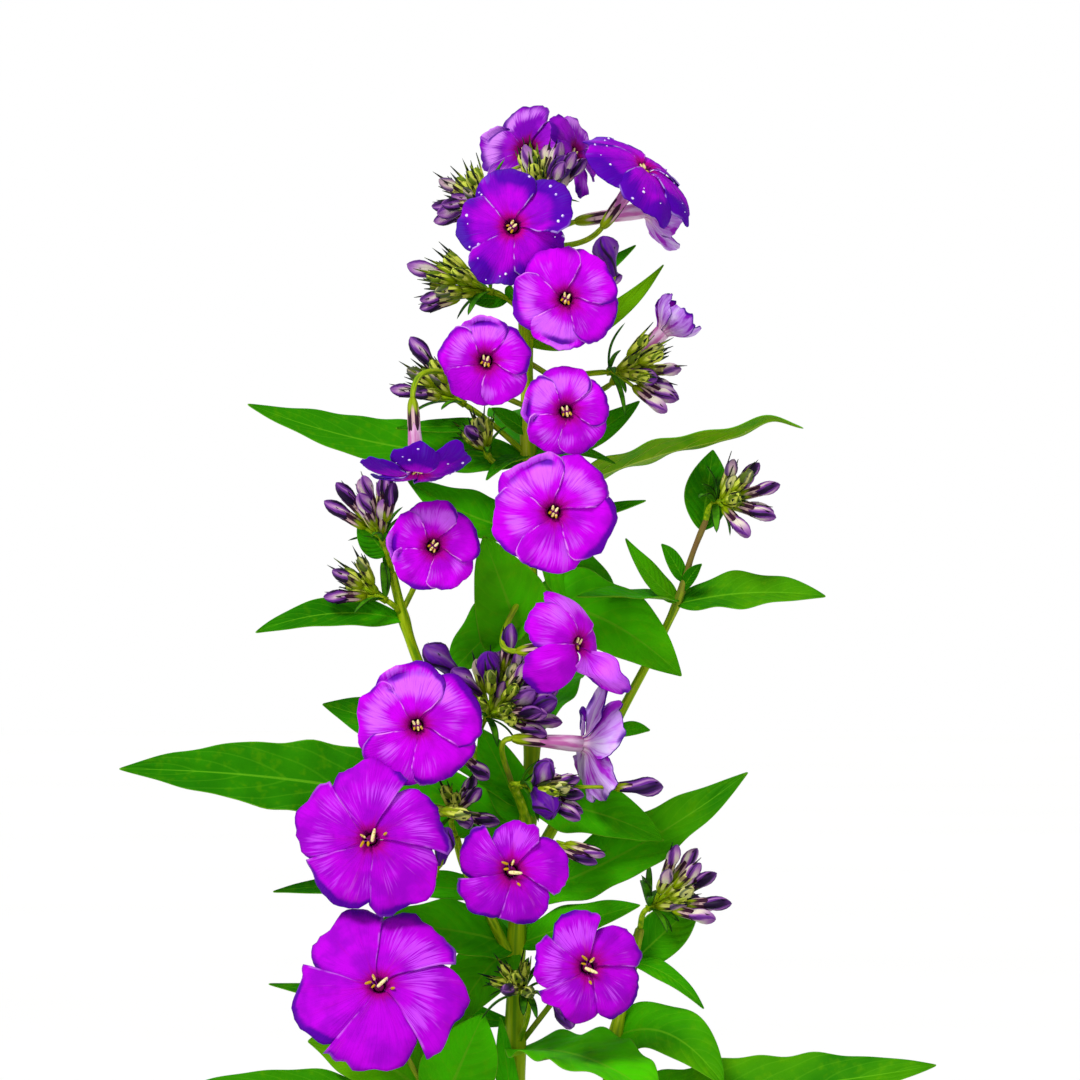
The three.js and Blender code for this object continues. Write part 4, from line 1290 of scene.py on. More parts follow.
@dataclass(frozen=True)
class Bloom:
    """An open flower: where its stalk leaves the stem, its throat, the way it faces, its width, its
    turn about that way, how far its petals bend back, and the stem that carries it.

    The light, shade and fold sides are the directions, anticlockwise from its right, towards which
    its petals take a lilac wash that is partly painted light, bend back and take painted shade, and
    have a margin folded over with a painted shadow in its crease. Shaded is how much painted shade
    lies over it all, and spin how far its anthers are turned. Of the sizes, lift is how far each
    petal's upper edge stands over the next, ridge how high its middle does, curl how far the end of
    a petal of curl length bends back, and dent and flap shape a margin that is folded over.
    """

    name: str
    root: Point
    throat: Point
    facing: Point
    width: float
    turn: float
    bend: float
    kind: BloomKind = BloomKind.ROUND
    tone: Tone = Tone.BRIGHT
    carrier: Carrier = Carrier.CENTRE
    light: float = 110.0
    painted_shade: float = 40.0
    fold: float | None = None
    shaded: float = 0.0
    stray: Stray | None = None
    spin: float | None = None

    WALL = 0.3
    TUBE = 20.0
    TUBE_RINGS = [(1.5 - TUBE, 0.8), (-14, 1.15), (-9, 1.5), (-5, 1.75), (-1.9, 1.75)]
    TUBE_SIDES = 20
    GRID = (26, 30)
    START = 1.6
    LIFT = 0.8
    RIDGE = 0.3
    CURL = 2.2
    CURL_LENGTH = 14
    DENT = 1.3
    FLAP = 0.8
    FUNNEL = 1.9
    FUNNEL_LENGTH = 0.8
    FLUSH_LENGTH = 1.7
    CORNER_PLAY = 0.08
    FLOOR = [(-2.5, 0), (-2.4, 1.3), (-2.0, 1.4), (-1.6, 0)]
    FILAMENT = 0.16
    SPIN = 50.0
    DROPS = 4
    DROP = ((-0.3, 0.0), (-0.3, 0.9), (0.2, 1.0), (0.6, 0.7), (0.8, 0.0))

    @property
    def axes(self) -> Axes:
        """Its right, up and out."""
        return Axes.facing(self.facing)

    @property
    def foot(self) -> Vector:
        """Where its stalk ends in its calyx."""
        return Vector(self.throat) - self.axes.out * self.TUBE

    def lay_tube(self, piece: Piece) -> None:
        """Lays the narrow tube, face inwards, from the calyx to the throat."""
        axes, throat, last = self.axes, Vector(self.throat), len(self.TUBE_RINGS) - 1

        def place(along: float, across: float) -> Vector:
            """A point of the tube."""
            height, radius = self.TUBE_RINGS[round(along * last)]
            return axes.ring(throat, radius, -math.tau * across, height)

        piece.sheet(last, self.TUBE_SIDES, place, even(0, 0, 1, 0.3))

    def lay_petal(self, piece: Piece, number: int, dew: Piece) -> None:
        """Lays one petal, with one edge over the next petal and the other under the last.

        Args:
            piece: the flower's mesh.
            number: the petal's number, counted clockwise.
            dew: the mesh that the dew drops of a shaded flower go into.
        """
        cut, tone = CUTS[self.kind], self.tone.value
        axes, throat = self.axes, Vector(self.throat)
        draw = random.Random(f"{self.name} {number}")
        seed, phase, lean = draw.random(), draw.uniform(0, 6), draw.uniform(-0.5, 0.5)
        stretch = 1 + draw.uniform(-cut.uneven, cut.uneven)
        spread = cut.half_angle + draw.uniform(-cut.loose, cut.loose)
        play = self.CORNER_PLAY
        corners = [cut.corner + draw.uniform(-play, play) for _ in range(2)]
        glow = draw.uniform(0.1, 1.0)
        length = self.width / 2 - self.START
        arc, roll, pale = math.radians(self.bend), 0.0, 0.0
        if self.stray is not None and self.stray.number == number:
            arc, roll = math.radians(self.stray.bend), math.radians(self.stray.roll)
            stretch, pale = self.stray.stretch, self.stray.pale
        middle = self.turn + PETAL_STEP * number + draw.uniform(-0.6, 0.6) * cut.loose
        skew = cut.skew * draw.uniform(0.4, 1.0)
        corners = [corners[0] + skew, corners[1] - skew]
        fullness = [cut.roundness * (1 - 1.6 * cut.skew), cut.roundness]

        def grain(along: float, across: float, layer: Layer) -> float:
            """A smooth random value, from about -0.5 to 0.5, that is this petal's own."""
            return noise.noise(Vector((across, along, layer + seed * 90)))

        def polar(along: float, across: float) -> tuple[float, float, float]:
            """A point's angle in degrees, its share of the petal's length, and its share across."""
            v = 2 * across - 1
            s = v * (1.3 - 0.3 * v * v)
            uneven = grain(0, s * 2.2, Layer.MARGIN) * 1.6 + grain(0, s * 7, Layer.FRAY) * 0.7
            full = 1 - corners[s > 0] * abs(s) ** fullness[s > 0]
            t = along * full * (stretch + cut.ragged * uneven * along**3)
            half = blend(cut.throat_angle, spread, ease(along, 0, 0.5))
            return -(middle + half * s + cut.swirl * t * t), t, s

        def place(along: float, across: float) -> Vector:
            """A point of the petal's face."""
            angle, t, s = polar(along, across)
            reach = self.START + length * math.sin(arc * t) / arc
            rise = -length * (1 - math.cos(arc * t)) / arc + self.LIFT * s * (0.4 + 0.6 * t)
            rise -= self.FUNNEL * math.exp(-(reach - self.START) / self.FUNNEL_LENGTH)
            rise += cut.ruffle * t * t * (0.5 * math.sin(math.pi * (2.1 * s + lean) + phase))
            waves = grain(t * 2, s * 2.4, Layer.WAVE) + 0.5 * grain(t * 4, s * 7, Layer.CRUMPLE)
            rise += cut.ruffle * ease(along, 0.45, 1) * waves
            rise += self.RIDGE * hump(s, 0, 0.45) * t - self.RIDGE * hump(s, 0, 0.09) * t
            back = 0.25 + 0.9 * towards(angle, self.painted_shade, 100) + 0.8 * grain(0, s * 1.3, Layer.CURL)
            back = max(0.0, back) * ease(along, 0.74, 1.15) ** 1.5
            rise -= self.CURL * back * length / self.CURL_LENGTH
            if self.fold is not None:
                window = towards(angle, self.fold, 42)
                rise -= self.DENT * window * hump(along, 0.84, 0.07)
                rise += self.FLAP * window * ease(along, 0.86, 1)
            turn, straight = math.radians(angle), math.radians(-middle)
            aside, ahead = reach * math.sin(turn - straight), reach * math.cos(turn - straight)
            rolled = roll * ease(t, 0.1, 0.7)
            rise += aside * math.sin(rolled)
            aside *= math.cos(rolled)
            right = ahead * math.cos(straight) - aside * math.sin(straight)
            up = ahead * math.sin(straight) + aside * math.cos(straight)
            return axes.place(throat, right, up, rise)

        def paint(along: float, across: float) -> Marks:
            """Lilac wash, partly painted light; painted shade; flush of the throat; and seed."""
            angle, t, s = polar(along, across)
            # the lilac wash is partly the petals' own lilac and partly painted light towards the
            # light side
            bright = 0.6 * glow + 0.45 * towards(angle, self.light, 140) + 0.1
            wash = bright * hump(t, tone.washed, 0.3)
            wash += 0.5 * grain(t * 2, s * 1.6, Layer.WASH) + pale
            # painted shade: darker towards the rim, most on the shade side, and over the whole
            # flower as far as it is shaded
            shore = tone.shore + 0.16 * grain(0, s * 1.5, Layer.SHORE)
            patchy = 0.45 + 0.7 * towards(angle, self.painted_shade, 95)
            patchy += 1.5 * grain(0, s * 1.7, Layer.PATCH)
            painted_shade = ease(along, shore, blend(shore, 1, 0.9)) * max(0.0, patchy)
            painted_shade += self.shaded * (0.3 + 0.7 * t)
            # painted shadow along the side that lies under the last petal
            painted_shade += 0.4 * hump(s, -0.85, 0.2) * ease(t, 0.3, 0.8)
            if self.fold is not None:
                # painted shadow in the crease under a folded margin
                sway = 22 * grain(along * 2, s * 2, Layer.CREASE)
                window = towards(angle + sway, self.fold, 36)
                crease = ease(along, 0.68, 0.82) * ease(0.875 - along, 0, 0.015)
                painted_shade = max(painted_shade * (1 - window), 1.1 * window * crease)
                wash = max(wash, 1.2 * window * ease(along, 0.86, 0.9))
            flush = math.exp(-max(0.0, t * length - 0.5) / self.FLUSH_LENGTH)
            return (wash, painted_shade, flush, seed)

        piece.sheet(*self.GRID, place, paint)
        for _ in range(self.DROPS if self.tone is Tone.DUSKY else 0):
            spot = place(draw.uniform(0.6, 0.97), draw.uniform(0.1, 0.9))
            size = draw.uniform(0.2, 0.5)
            drop = [(height * size, radius * size) for height, radius in self.DROP]
            dew.turned(spot, axes, drop, 8, even())

    def petals(self, finishes: list[bpy.types.Material], dew: Piece) -> bpy.types.Object:
        """The whole corolla as one piece.

        Args:
            finishes: the face, the back and the edge of its petals.
            dew: the mesh that its dew drops go into.

        Returns:
            The object.
        """
        piece = Piece("petals_" + self.name, "petal", finishes)
        self.lay_tube(piece)
        for number in range(PETALS):
            self.lay_petal(piece, number, dew)
        return piece.finished("bloom_" + self.name, wall=self.WALL, levels=0)

    def lay_stamens(self, piece: Piece) -> None:
        """Lays the throat's floor, painted dark as the shade of the pit, and the anthers in it."""
        axes, throat = self.axes, Vector(self.throat)
        # painted shade: the floor stands in for the dark of the pit
        piece.turned(throat, axes, self.FLOOR, 10, even(1), 1)
        draw = random.Random(self.name)
        spin = draw.uniform(-self.SPIN, self.SPIN) if self.spin is None else self.spin
        cosine, sine = math.cos(math.radians(spin)), math.sin(math.radians(spin))
        spun = Axes(
            axes.right * cosine + axes.up * sine, axes.up * cosine - axes.right * sine, axes.out
        )
        for anther in ANTHERS[self.kind]:
            right, up, out = anther.start
            root = spun.place(throat, 0.35 * right, 0.35 * up, -2.8)
            start = spun.place(throat, right, up, out)
            line = MiddleLine([root, (root + start) / 2, start])
            piece.rod(line, lambda share: self.FILAMENT, 5, even(), 1)
            long, thick = anther.length, 0.25 + 0.065 * anther.length + draw.uniform(-0.04, 0.04)
            profile = [
                (-0.1, 0), (0.05, thick), (0.5 * long, thick * 1.1), (0.93 * long, thick * 0.7),
                (long, 0),
            ]
            way = spun.right * anther.lean[0] + spun.up * anther.lean[1] + axes.out * 0.45
            piece.turned(start, Axes.facing(way), profile, 8, even(anther.ochre), 0)


ROUND_ANTHERS = [
    Anther((-0.5, 0.3, 0.1), (-0.2, 1.0), 1.3, 0.25),
    Anther((0.3, 0.1, 0.2), (0.25, 1.0), 1.4, 0.0),
    Anther((0.05, -0.3, 0.1), (-0.1, -1.0), 1.3, 0.4),
    Anther((0.7, -0.4, -0.2), (0.3, -1.0), 1.1, 0.7),
    Anther((-0.7, -0.2, -0.3), (-0.5, -0.8), 0.9, 0.9),
]
WIDE_ANTHERS = [
    Anther((-1.7, -0.5, 0.5), (-0.5, -0.8), 2.0, 0.9),
    Anther((-1.2, 0.3, 0.3), (-0.8, 0.6), 1.7, 0.5),
    Anther((-0.6, -0.7, 0.4), (-0.1, -1.0), 1.4, 1.0),
    Anther((0.3, -0.9, 0.6), (0.5, 1.4), 3.6, 0.0),
    Anther((3.4, 0.5, 0.4), (0.7, 0.4), 1.2, 1.0),
]
TURNED_ANTHERS = [
    Anther((-0.4, 0.2, -1.3), (-0.2, 1.0), 1.5, 0.0),
    Anther((0.4, 0.0, -1.2), (0.15, 1.0), 1.6, 0.2),
    Anther((0.0, -0.4, -1.4), (-0.1, -1.0), 1.3, 0.5),
]
ANTHERS = {
    BloomKind.ROUND: ROUND_ANTHERS,
    BloomKind.LOBED: ROUND_ANTHERS,
    BloomKind.WIDE: WIDE_ANTHERS,
    BloomKind.TURNED: TURNED_ANTHERS,
}

BLOOMS = [
    Bloom(
        "top_front", (-4.6, 3, 430), (-7, -22, 443), (-0.12, -1, 0.12), 30.5, 35, 28,
        BloomKind.LOBED, Tone.DUSKY, light=225, painted_shade=60, shaded=0.52,
        stray=Stray(4, 6, -32, stretch=1.14),
    ),
    Bloom(
        "upper_centre", (-4, 2, 416), (6.5, -26, 425), (0.05, -1, 0.03), 26.5, 25, 14, light=250,
        painted_shade=-30, fold=260,
    ),
    Bloom(
        "upper_left", (-3.6, 2, 402), (-13.5, -24, 409.5), (-0.06, -1, 0.02), 23, 43, 14, painted_shade=30,
        fold=95,
    ),
    Bloom(
        "upper_right", (-3.2, 2, 390), (6.5, -23, 397), (0.04, -1, 0.02), 22.5, 50, 14, painted_shade=20,
        fold=180,
    ),
    Bloom(
        "middle_centre", (-2.6, 2, 364), (3.5, -30, 372), (0.02, -1, 0.05), 30.5, 15, 14, painted_shade=30,
        fold=110,
    ),
    Bloom(
        "middle_left", (-34.5, -2, 347), (-26.5, -24, 363.5), (0.02, -1, 0.05), 23, 46, 14, painted_shade=20,
        fold=180,
    ),
    Bloom(
        "lower_left_high", (-24, 1, 321), (-30.5, -33, 319), (0.02, -1, 0.02), 32, 42, 14, painted_shade=20,
        fold=110,
    ),
    Bloom(
        "lower_left_wide", (-21, -11, 290), (-42, -39, 291), (-0.08, -1, 0.12), 40, 39, 22,
        BloomKind.WIDE, Tone.DEEP, light=60, painted_shade=235,
    ),
    Bloom(
        "lower_centre", (-13, -5, 272), (-7, -34, 283), (0.05, -1, 0.1), 27.5, 54, 22,
        BloomKind.WIDE, Tone.DEEP, light=60, painted_shade=190, spin=-75,
    ),
    Bloom(
        "base_left", (-25, -11, 222), (-40, -42, 255), (-0.08, -0.92, 0.36), 43, 4, 22,
        BloomKind.WIDE, Tone.DEEP, light=10, painted_shade=200, carrier=Carrier.LEFT,
    ),
    Bloom(
        "base_right", (-6, 0, 240), (12, -33, 259), (0.12, -1, 0.08), 28.5, 27, 22, BloomKind.WIDE,
        Tone.DEEP, light=150, painted_shade=-30, spin=-95,
    ),
    Bloom(
        "crown_left", (-4.6, 3, 432), (-3.5, 30, 463.5), (-0.3, -0.85, 0.42), 28, 40, 24,
        BloomKind.TURNED, Tone.MAUVE, light=180, painted_shade=90, fold=150,
    ),
    Bloom(
        "crown_right", (-4.6, 3, 434), (9.5, 16, 462), (0.86, -0.4, 0.25), 23, 18, 12,
        BloomKind.TURNED, Tone.MAUVE, light=20, painted_shade=120,
    ),
    Bloom(
        "crown_side_high", (-4.8, 3, 439), (26.7, -6, 458.5), (0.55, -0.34, 0.76), 34, 54, 34,
        BloomKind.TURNED, Tone.DUSKY, light=70, painted_shade=240, shaded=0.6,
    ),
    Bloom(
        "crown_side_low", (-4.8, 3, 430), (27.5, 16, 448), (0.92, 0.34, 0.16), 24, 18, -50,
        BloomKind.TURNED, Tone.MAUVE,
    ),
    Bloom(
        "right_opening", (-3.4, 2, 408), (32, 8, 418.5), (0.7, 0.02, 0.71), 20, 18, -104,
        BloomKind.TURNED, Tone.DEEP, shaded=0.55,
    ),
    Bloom(
        "nodding", (-3.4, 2, 398), (-30.5, -30, 380.8), (0.06, -0.25, -0.96), 29, 36, 32,
        BloomKind.TURNED, Tone.DUSKY, light=20, painted_shade=90, shaded=0.95,
    ),
    Bloom(
        "turned_left", (-2.4, 2, 356), (10.4, -33, 339.3), (0.8, -0.6, 0.1), 35, 66, 70,
        BloomKind.TURNED, light=80, painted_shade=250, stray=Stray(0, -60, 110, pale=0.6),
    ),
    Bloom(
        "turned_right", (-7, -11, 304), (12, -13, 314), (0.94, 0.33, -0.08), 33, 54, -35,
        BloomKind.TURNED, Tone.MAUVE,
    ),
]


# ---- stalks, calyxes and buds -------------------------------------------------------------


@dataclass(frozen=True)
class Stalk:
    """A stalk's curve leaves its stem, dips and turns, by these shares of its reach."""

    root: Vector
    foot: Vector
    way: Vector

    LEAVE = 0.35
    DIP = 0.08
    TURN = 0.4

    def line(self, steps: int) -> MiddleLine:
        """Its middle line, cut into so many stretches."""
        reach = (self.foot - self.root).length
        early = self.root.lerp(self.foot, self.LEAVE) - self.way * self.DIP * reach
        late = self.foot - self.way * self.TURN * reach
        curve = [self.root, early, late, self.foot]
        return MiddleLine([bezier(curve, step / steps) for step in range(steps + 1)])


@dataclass(frozen=True)
class Calyx:
    """A ribbed cup that ends in five long sharp teeth, whose tips stand as wide as the spread.

    The clefts between the teeth reach down to a share of its length. There its outer and inner
    skins lie at those shares of its radius, and each tooth has its own length.
    """

    foot: Vector
    way: Point | Vector
    length: float
    radius: float
    ripe: float
    spread: float

    TEETH = (1.0, 0.84, 1.2, 0.8, 0.92)
    TOOTH_ROWS = range(5, 9)
    TIP_ROW = 7
    SIDES = 20
    CLEFT = 0.52
    OUTER = 1.04
    INNER = 0.82

    def lay(self, piece: Piece, finish: int) -> None:
        """Lays the cup as one closed skin, out over its teeth and back down inside.

        Args:
            piece: the mesh that it goes into.
            finish: the number of its material.
        """
        axes, flare, count = Axes.facing(self.way), self.spread / self.radius, len(self.TEETH)
        rings = [
            (0.0, 0.0), (0.0, 0.5), (0.12, 0.86), (0.32, 1.0), (self.CLEFT, self.OUTER),
            (0.76, 1.0), (1.0, flare), (0.995, flare - 0.14), (0.76, 0.86), (self.CLEFT, 0.8),
            (0.35, 0.0),
        ]
        last = len(rings) - 1

        def tooth(along: float, across: float) -> tuple[int, float]:
            """The ring of a point, and how near it is to the middle of a tooth."""
            return round(along * last), abs((across * count) % 1 - 0.5) * 2

        def place(along: float, across: float) -> Vector:
            """A point of the cup."""
            row, point = tooth(along, across)
            share, size = rings[row]
            if row in self.TOOTH_ROWS:
                risen = point**1.1 if share < 0.9 else point**2.0
                share = blend(self.CLEFT, share * self.TEETH[round(across * count) % count], risen)
                size = blend(self.OUTER if row < self.TIP_ROW else self.INNER, size, risen)
            size += 0.06 * math.cos(math.tau * count * across) * (0.1 < share < self.CLEFT)
            return axes.ring(self.foot, self.radius * size, math.tau * across, self.length * share)

        def paint(along: float, across: float) -> Marks:
            """Ripeness, height and seed."""
            row, point = tooth(along, across)
            height = rings[row][0]
            if row in self.TOOTH_ROWS:
                height = blend(self.CLEFT, height, point)
            return (self.ripe, height, 0.0, self.foot.x * 0.37 % 1)

        piece.sheet(last, self.SIDES, place, paint, finish)


@dataclass(frozen=True)
class Bud:
    """A bud on its own short stalk, from a point in the spray's foot.

    Its calyx is as long and wide as the cup's sizes say, first for a green and then for a ripe bud.
    The profile gives the heights and radii of its rolled petals as shares of the head and belly.
    """

    start: Vector
    way: Vector
    length: float
    ripe: float
    bright: float = 0.0
    fat: float = 0.0

    NECK = 0.5
    SHORTEST = 7.6
    GROWTH = 4.9
    SIDES = 20
    WINDING = 0.8
    BELLY = 1.5
    RIPE_BELLY = 0.35
    CUP_LENGTH = (1.12, 0.76)
    CUP_RADIUS = (1.45, 1.4)
    PROFILE = [
        (0.1, 0.0), (0.12, 0.5), (0.34, 0.62), (0.46, 0.74), (0.58, 0.93), (0.68, 1.0),
        (0.79, 0.93), (0.89, 0.68), (0.96, 0.36), (1.0, 0.0),
    ]

    def lay(self, piece: Piece, bud: int = 0, calyx: int = 1, stalk: int = 2) -> None:
        """Lays the stalk, the calyx and the rolled petals that stand out of it.

        Args:
            piece: the spray's mesh.
            bud: the number of the rolled petals' material.
            calyx: the number of the calyx's material.
            stalk: the number of the stalk's material.
        """
        axes = Axes.facing(self.way)
        head = min(self.SHORTEST + self.GROWTH * self.ripe, 0.9 * self.length)
        base = self.length - head
        belly = self.BELLY + self.RIPE_BELLY * self.ripe + self.fat
        line = MiddleLine([self.start + axes.out * base * share for share in (0, 0.5, 1)])
        piece.rod(line, lambda share: self.NECK, 6, even(0.1), stalk)
        seat = self.start + axes.out * (base - 0.2)
        cup = blend(*self.CUP_LENGTH, ease(self.ripe, 0.1, 0.8)) * head
        spread = 0.8 * belly + blend(-0.1, 0.3, self.ripe) + 0.5 * (7.3 * self.way.x % 1) ** 2
        wide = blend(*self.CUP_RADIUS, self.ripe)
        Calyx(seat, self.way, cup, wide, self.ripe, spread).lay(piece, calyx)
        young, last = 1 - ease(self.ripe, 0.2, 0.6), len(self.PROFILE) - 1
        seed = (self.start.z * 0.61 + self.way.x * 3.7 + self.way.z * 5.3) % 1

        def place(along: float, across: float) -> Vector:
            """A point of the rolled petals, which wind round the bud."""
            share, size = self.PROFILE[round(along * last)]
            winding = math.cos(math.tau * (3 * across + self.WINDING * along))
            wound = 1 + (0.09 + 0.05 * self.fat) * winding
            high = head * share * (1 - 0.1 * young)
            return axes.ring(seat, belly * size * wound, math.tau * across, high)

        def paint(along: float, across: float) -> Marks:
            """Ripeness, height, brightness and seed."""
            return (self.ripe, self.PROFILE[round(along * last)][0], self.bright, seed)

        piece.sheet(last, self.SIDES, place, paint, bud)


@dataclass(frozen=True)
class Bract:
    """A narrow pointed leaf among the buds, as a flat closed rod that curls back a little."""

    start: Vector
    way: Vector
    length: float
    width: float

    THICK = 0.2
    CURL = 0.12
    GRID = (12, 8)

    def lay(self, piece: Piece, finish: int) -> None:
        """Lays the bract.

        Args:
            piece: the spray's mesh.
            finish: the number of its material.
        """
        axes = Axes.facing(self.way)

        def place(along: float, across: float) -> Vector:
            """A point of the bract; its ends are points."""
            turn = math.tau * across
            half = self.width / 2 * (along * (1 - along) ** 1.2) ** 0.5 * 1.75
            flat = self.THICK * min(1.0, 8 * along, 8 * (1 - along))
            bow = self.CURL * self.length * math.sin(math.pi * along)
            fold = 0.35 * half * abs(math.cos(turn))
            up = flat * math.sin(turn) + bow + fold
            return axes.place(self.start, half * math.cos(turn), up, self.length * along)

        def paint(along: float, across: float) -> Marks:
            """How far out a place is, and seed."""
            return (along, 0.0, 0.0, self.start.x * 0.29 % 1)

        piece.sheet(*self.GRID, place, paint, finish)


@dataclass(frozen=True)
class Spray:
    """A spray of buds: where its stalk leaves the stem, its foot, the way it points, how many buds
    it has, how wide they fan out, their reach, how ripe they are, how many bracts stand round them,
    and the stem that carries it."""

    name: str
    root: Point
    foot: Point
    points: Point
    buds: int
    fan: float
    reach: float
    ripe: float
    bracts: int = 5
    carrier: Carrier = Carrier.CENTRE

    GAP = 0.3
    CORE = 3.0
    TOP = 0.8
    SPREAD = 0.5
    YOUNGEST = 0.72
    INNER_REACH = 0.62
    BRACT_REACH = 0.7
    BRACT_LEAST = 17.0
    BRACT_WIDTH = 2.4

    def ripeness(self, number: int) -> float:
        """How ripe a bud is, from 0 for a small green one to 1 for a violet one."""
        spread = ((number + 1) * GOLDEN_SHARE) % 1
        return min(1.0, max(0.0, self.ripe + (spread - 0.5)))

    def grown(self, finishes: list[bpy.types.Material]) -> bpy.types.Object:
        """The spray as one piece: its buds fan out, each turned by the golden angle from the last.

        Args:
            finishes: the buds', the calyxes', the stalks' and the bracts' materials.

        Returns:
            The object.
        """
        piece = Piece("spray_" + self.name, "bud", finishes)
        axes = Axes.facing(self.points)
        foot = Vector(self.foot) + axes.out * self.GAP
        core = foot + axes.out * self.CORE
        trunk = MiddleLine([foot - axes.out * 0.6, foot.lerp(core, 0.5), core])
        piece.rod(trunk, lambda share: 1.0 - 0.3 * share, 8, even(0.2), 2)
        draw = random.Random(self.name)

        def fanned(lean: float, turn: float) -> Vector:
            """The way that leans so far from the spray's own, at a turn, with a little chance."""
            lean, turn = lean + draw.uniform(-0.07, 0.07), turn + draw.uniform(-0.12, 0.12)
            return axes.ring(Vector(), math.sin(lean), turn, math.cos(lean))

        for number in range(self.buds):
            lean = math.radians(self.fan) * math.sqrt((number + 0.5) / self.buds)
            turn = number * GOLDEN_TURN
            start = foot.lerp(core, self.TOP - self.SPREAD * number / self.buds)
            ripe = self.ripeness(number)
            grown = self.YOUNGEST + (1 - self.YOUNGEST) * ripe
            length = self.reach * grown * draw.uniform(0.93, 1.05)
            Bud(start, fanned(lean, turn), length, ripe).lay(piece)
            if number % 2:
                young = ripe * draw.uniform(0.3, 1.0)
                short = self.INNER_REACH * draw.uniform(0.9, 1.2)
                inner = fanned(draw.uniform(0.2, 0.7), turn + 0.5 * GOLDEN_TURN)
                Bud(start, inner, short * length, young).lay(piece)
        for number in range(self.bracts):
            way = fanned(math.radians(self.fan) + 0.4, (number + 0.3) * GOLDEN_TURN)
            length = self.BRACT_REACH * max(self.reach, self.BRACT_LEAST) * draw.uniform(0.6, 1.2)
            Bract(foot, way, length, self.BRACT_WIDTH * draw.uniform(0.7, 1.2)).lay(piece, 3)
        for swollen in SWOLLEN_BUDS.get(self.name, []):
            swollen.bud(core).lay(piece)
        return piece.finished("buds_" + self.name, levels=0)


@dataclass(frozen=True)
class SwollenBud:
    """A bud that stands out of its spray: its tip, how fat, bright and ripe it is, and its root
    where that isn't the spray's core."""

    tip: Point
    fat: float = 0.5
    bright: float = 0.4
    ripe: float = 1.0
    root: Point | None = None

    def bud(self, core: Vector) -> Bud:
        """The bud on its stalk."""
        start = Vector(self.root) if self.root else core
        reach = Vector(self.tip) - start
        return Bud(start, reach.normalized(), reach.length, self.ripe, self.bright, self.fat)


SWOLLEN_BUDS = {
    "crown": [
        SwollenBud((7, -9, 461), fat=0.9, bright=0.5),
        SwollenBud((-4, -6, 464), fat=0.0, bright=0.0),
        SwollenBud((15.6, -16, 441), fat=1.4, bright=0.9, root=(18.3, -12, 428.5)),
        SwollenBud((20.8, -11, 431), fat=-0.2, bright=0.4, root=(12, -11, 428)),
    ],
    "crown_left": [SwollenBud((-26, -4, 446.5), fat=0.2, bright=0.1)],
    "upper_left": [SwollenBud((-33.5, -5, 434), fat=0.3, bright=0.2)],
    "upper_right": [
        SwollenBud((29.5, -6, 405), fat=0.3), SwollenBud((35, -3, 400), fat=0.2, bright=0.4),
    ],
    "middle_left_high": [SwollenBud((-32.5, -5, 416), fat=0.3, bright=0.1)],
    "centre": [
        SwollenBud((-29, -18, 339), fat=1.4, bright=0.8),
        SwollenBud((-13, -18, 337.5), fat=1.1, bright=1.0),
        SwollenBud((-7, -14, 344.5), fat=0.2),
        SwollenBud((-22, -20, 333), fat=0.7),
        SwollenBud((-1, -20, 327.5), fat=0.6),
        SwollenBud((4.5, -19, 325), fat=0.9, bright=0.5),
        SwollenBud((-12.5, -20, 305.3), fat=0.2, bright=0, root=(-20, -19, 312)),
        SwollenBud((-3, -21, 334.8), fat=-0.2, bright=0, ripe=0.55),
        SwollenBud((1, -17, 332), fat=0, bright=0.6),
        SwollenBud((-6, -23, 319.6), fat=0.1, bright=0, ripe=0.2),
        SwollenBud((2, -21, 321.5), fat=-0.1, bright=0),
        SwollenBud((-5, -12, 338), fat=-0.2, bright=0, ripe=0.6),
    ],
    "centre_low": [
        SwollenBud((2.5, -28, 310), fat=0.9, bright=0.5),
        SwollenBud((3.5, -29, 297), fat=1.6, bright=1.0),
        SwollenBud((31, -18, 303.5), fat=0.6, bright=0.2),
        SwollenBud((16.5, -26, 286.5), fat=-0.3, bright=0, ripe=0.6, root=(4, -24, 290)),
        SwollenBud((14.5, -26, 284.5), fat=-0.3, bright=0.2, root=(3, -24, 289)),
    ],
    "left_inner": [
        SwollenBud((-60.5, -30, 296.5), fat=0.4, bright=0.2, root=(-46, -27, 292)),
        SwollenBud((-23, -33, 293.8), fat=0.9, bright=1.0, root=(-26, -24, 281)),
        SwollenBud((-16.3, -30, 296.3), fat=0, bright=0, ripe=0.3, root=(-26, -25, 298)),
    ],
    "base": [SwollenBud((8, -31, 243.5), fat=0.6, bright=0.3, root=(1.5, -22, 256))],
}

